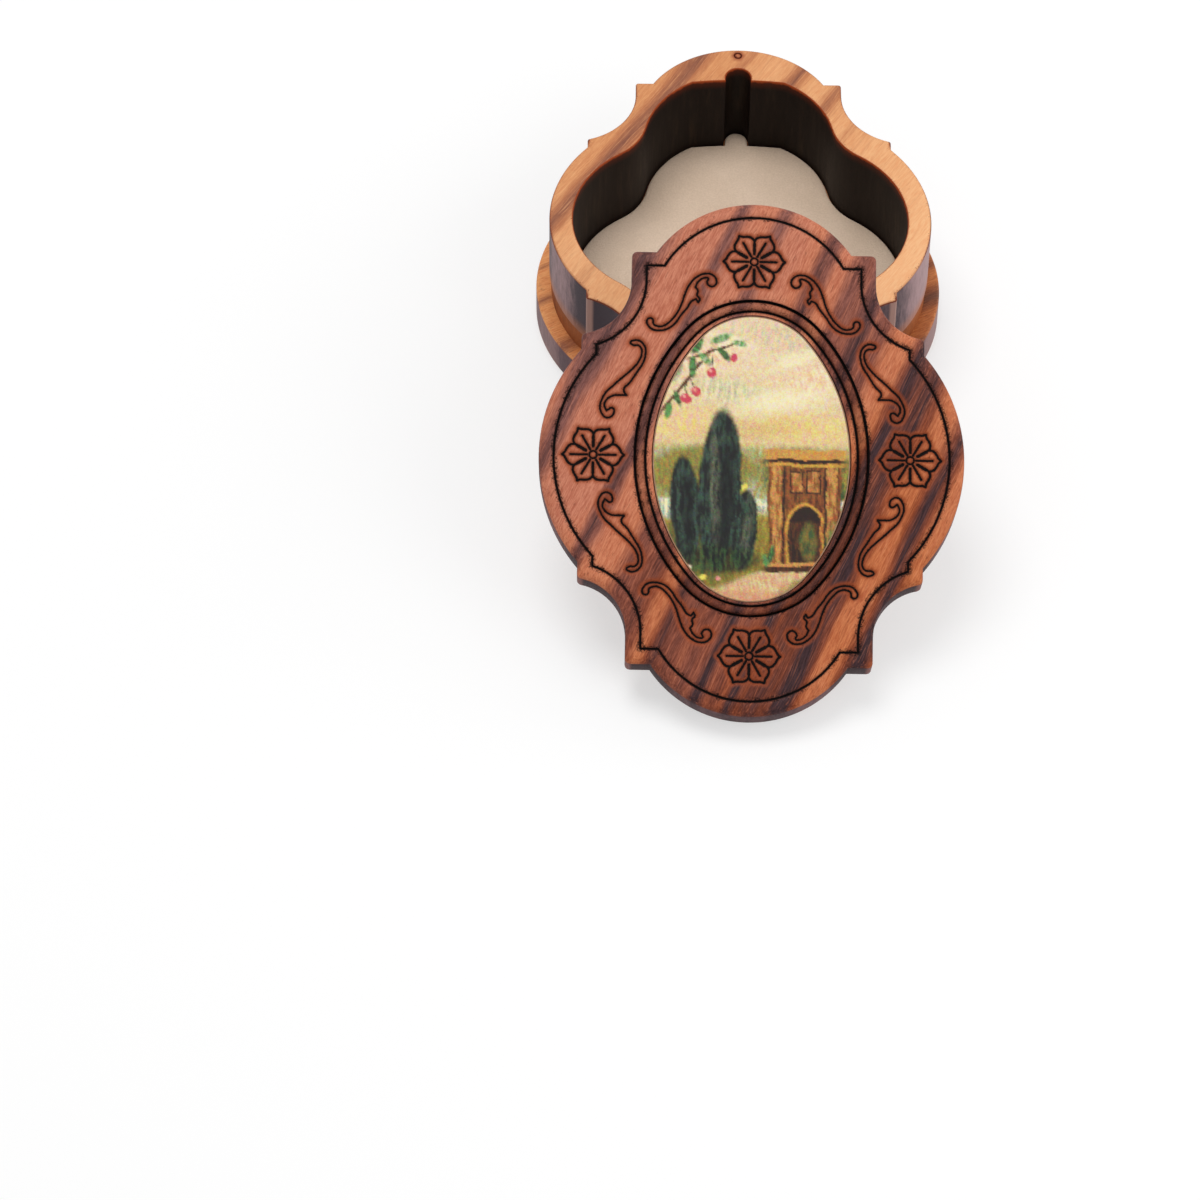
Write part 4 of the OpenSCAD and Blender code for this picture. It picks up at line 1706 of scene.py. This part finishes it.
@dataclass
class Studio:
    """The pale floor, the soft light and the camera at the photograph's viewing angle.

    The camera's place is in millimetres. The places of the lamps and of their aim are in metres.
    """

    camera_at: tuple[float, float, float] = (-24.8, -622.2, 673.1)
    pitch: float = 50.35
    roll: float = 0.67
    yaw: float = -0.2
    lens: float = 161.9
    sensor: float = 36.0
    clip: float = 0.01
    world_level: float = 0.68
    table_size: float = 3.0
    table_shade: float = 0.78
    table_white: float = 0.99
    table_glow: float = 0.55
    aim: tuple[float, float, float] = (0.0, -0.03, 0.0)
    lamps: tuple[tuple[tuple[float, float, float], float, float], ...] = (
        ((-0.16, 0.12, 0.8), 0.5, 2.8),
        ((0.5, -0.3, 0.45), 0.5, 1.0),
        ((0.55, 0.12, 0.22), 0.35, 0.45),
    )

    def build_camera(self) -> None:
        """Makes the camera."""
        data = bpy.data.cameras.new("camera")
        data.lens = self.lens
        data.sensor_width = self.sensor
        data.clip_start = self.clip
        made = put(bpy.data.objects.new("camera", data))
        aim = Euler((math.radians(90 - self.pitch), 0, math.radians(self.yaw))).to_matrix().to_4x4()
        roll = Matrix.Rotation(math.radians(self.roll), 4, "Z")
        made.matrix_world = Matrix.Translation(Vector(self.camera_at) * MM) @ aim @ roll
        bpy.context.scene.camera = made

    def build_lamps(self) -> None:
        """Makes the large soft lamps, aimed at the box."""
        for index, (at, size, power) in enumerate(self.lamps):
            data = bpy.data.lights.new(f"softbox_{index}", "AREA")
            data.shape = "DISK"
            data.size = size
            data.energy = power
            made = put(bpy.data.objects.new(data.name, data))
            made.location = at
            made.rotation_euler = (Vector(self.aim) - Vector(at)).to_track_quat("-Z", "Y").to_euler()

    def build_world(self) -> None:
        """Makes an even white surround that the camera sees as white."""
        world = bpy.data.worlds.new("surround")
        world.use_nodes = True
        tree = world.node_tree
        tree.nodes.clear()
        output = tree.nodes.new("ShaderNodeOutputWorld")
        level = tree.nodes.new("ShaderNodeBackground")
        path = tree.nodes.new("ShaderNodeLightPath")
        seen = tree.nodes.new("ShaderNodeMapRange")
        seen.inputs["To Min"].default_value = self.world_level
        seen.inputs["To Max"].default_value = 1.0
        tree.links.new(path.outputs["Is Camera Ray"], seen.inputs["Value"])
        tree.links.new(seen.outputs[0], level.inputs["Strength"])
        tree.links.new(level.outputs[0], output.inputs["Surface"])
        bpy.context.scene.world = world

    def build_floor(self) -> None:
        """Makes the pale table, white where the camera sees it and keeping the shadow."""
        bm = bmesh.new()
        bmesh.ops.create_grid(bm, x_segments=1, y_segments=1, size=self.table_size)
        mesh = bpy.data.meshes.new("table")
        bm.to_mesh(mesh)
        bm.free()
        made = put(bpy.data.objects.new("table", mesh))
        s = Shader("white_table")
        kinds = ("Camera", "Glossy", "Transmission")
        camera, glossy, through = (s.node("ShaderNodeLightPath", {}, {}, f"Is {kind} Ray") for kind in kinds)
        seen = camera.most(glossy).most(through)
        colour = s.mix(seen, (self.table_shade,) * 3, (self.table_white,) * 3)
        shader = s.node("ShaderNodeBsdfDiffuse", {}, {"Color": colour}, "BSDF")
        lit = s.node("ShaderNodeEmission", {}, {"Color": (1.0, 1.0, 1.0), "Strength": 1.0}, "Emission")
        shown = s.node("ShaderNodeMixShader", {}, {0: seen * self.table_glow, 1: shader, 2: lit}, "Shader")
        s.tree.links.new(shown.socket, s.output.inputs["Surface"])
        mesh.materials.append(s.material)

    def build(self) -> None:
        """Builds the whole studio."""
        self.build_camera()
        self.build_lamps()
        self.build_world()
        self.build_floor()
        bpy.context.scene.view_settings.view_transform = "Standard"


LID_BANDS = bands(
    (-30.4, 2.5, 0.75), (-18.2, 1.9, 0.85), (-9.8, 2.2, 0.55), (-5.6, 3.0, 0.66),
    (0.2, 2.6, 0.75), (3.0, 2.0, 0.62), (6.2, 1.6, 0.5), (9.2, 2.4, 1.0),
    (11.8, 1.4, 0.5), (14.2, 2.2, 0.85), (18.0, 2.2, 0.65), (22.0, 3.0, 1.0),
    (30.1, 2.6, 0.95),
)
LID_FAR_BANDS = bands(
    (-33.0, 2.5, 0.8), (-29.8, 4.0, 0.85), (-18.9, 2.0, 0.65), (-12.2, 2.1, 0.62),
    (-3.2, 2.4, 0.82), (2.6, 2.2, 0.55), (7.0, 2.8, 0.95), (10.2, 1.8, 0.55),
    (17.2, 2.6, 0.92), (20.9, 3.2, 0.8), (29.0, 2.6, 0.85),
)
RIM_BANDS = bands(
    (-32.0, 1.6, 0.3), (-25.7, 2.4, 0.8), (-15.0, 1.4, 0.2), (12.0, 1.4, 0.2),
)
RIM_FAR_BANDS = bands(
    (-26.0, 2.6, 0.75), (-19.0, 1.2, 0.3), (-9.6, 2.4, 0.75), (-1.8, 2.2, 0.6),
    (5.0, 1.2, 0.25),
)
FOOT_BANDS = bands(
    (-27.0, 3.0, 0.75), (-20.0, 1.2, 0.35), (-13.0, 1.8, 0.5), (-2.0, 2.2, 0.5),
    (6.0, 1.2, 0.4), (12.0, 1.6, 0.5), (18.5, 2.8, 0.8), (27.0, 2.5, 0.65),
)


@dataclass(frozen=True)
class Lean:
    """How the lid leans on the rim, in degrees and millimetres."""

    slope: float = 28.0
    turn: float = -0.6
    gap: float = 0.15
    shift: float = 1.1

    def place(self, sizes: Heights, outline: BarbedOutline) -> Matrix:
        """Works out where the lid lies: its lower edge on the table and its plate on the front of the rim.

        Args:
            sizes: the heights of the boards.
            outline: the lid's outline.

        Returns:
            The matrix from the lid's own frame to the box's, in millimetres.
        """
        slope = math.radians(self.slope)
        reach = outline.length / 2
        height = reach * math.sin(slope)
        edge = -(reach - sizes.wall_set)
        drop = math.cos(slope) * (sizes.rim - height) + sizes.plug + self.gap
        tilt = Matrix.Rotation(slope, 4, "X") @ Matrix.Rotation(math.radians(self.turn), 4, "Z")
        return Matrix.Translation((self.shift, edge - drop / math.sin(slope), height)) @ tilt


def main() -> None:
    """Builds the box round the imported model."""
    logging.basicConfig(level=logging.INFO, format="%(name)s: %(message)s")
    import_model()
    sizes = Heights()
    place = Lean().place(sizes, BarbedOutline())
    lid_wood = OliveWood(
        name="lid_wood",
        grain_turn=65.0,
        light=srgb(192, 118, 92),
        warm=srgb(208, 121, 74),
        middle=srgb(130, 82, 74),
        dark=srgb(62, 42, 45),
        ember=srgb(140, 68, 38),
        side_light=srgb(126, 92, 94),
        side_dark=srgb(58, 38, 42),
        bands=LID_BANDS,
        far_bands=LID_FAR_BANDS,
    ).material(place)
    rim_wood = OliveWood(
        name="wall_wood",
        grain_turn=58.0,
        light=srgb(240, 180, 128),
        warm=srgb(220, 150, 96),
        middle=srgb(190, 124, 82),
        dark=srgb(130, 76, 56),
        ember=srgb(184, 114, 72),
        side_light=srgb(172, 139, 140),
        side_dark=srgb(58, 43, 52),
        burnt=srgb(112, 42, 16),
        scorch=srgb(150, 72, 34),
        pores=0.1,
        speckle=0.25,
        gloss=0.35,
        painted_light_drift=-0.01,
        wood_and_bounce_root=10.0,
        soot=0.02,
        bands=RIM_BANDS,
        far_bands=RIM_FAR_BANDS,
    ).material(Matrix())
    foot_wood = OliveWood(
        name="foot_wood",
        grain_turn=30.0,
        light=srgb(226, 152, 92),
        warm=srgb(200, 118, 62),
        middle=srgb(156, 94, 62),
        dark=srgb(112, 70, 52),
        ember=srgb(150, 86, 52),
        side_light=srgb(156, 122, 120),
        side_dark=srgb(92, 66, 72),
        gloss=0.35,
        bands=FOOT_BANDS,
    ).material(Matrix())
    plinth_wood = OliveWood(
        name="plinth_wood",
        grain_turn=35.0,
        light=srgb(190, 120, 70),
        warm=srgb(176, 102, 56),
        middle=srgb(150, 84, 46),
        dark=srgb(110, 60, 36),
        side_light=srgb(168, 96, 54),
        side_dark=srgb(104, 56, 34),
        bands=FOOT_BANDS,
    ).material(Matrix())
    char = CharredWood().material(sizes.rim)
    base = Base()
    base.build_foot(foot_wood)
    base.build_plinth(plinth_wood, char)
    base.build_wall(rim_wood, char)
    base.build_felt(Felt().material())
    lid = Lid(place)
    lid.build_board(lid_wood)
    lid.build_plate(plinth_wood)
    lid.build_picture(PrintedCard().material(place), CardEdge().material(place))
    Studio().build()


if __name__ == "__main__":
    main()
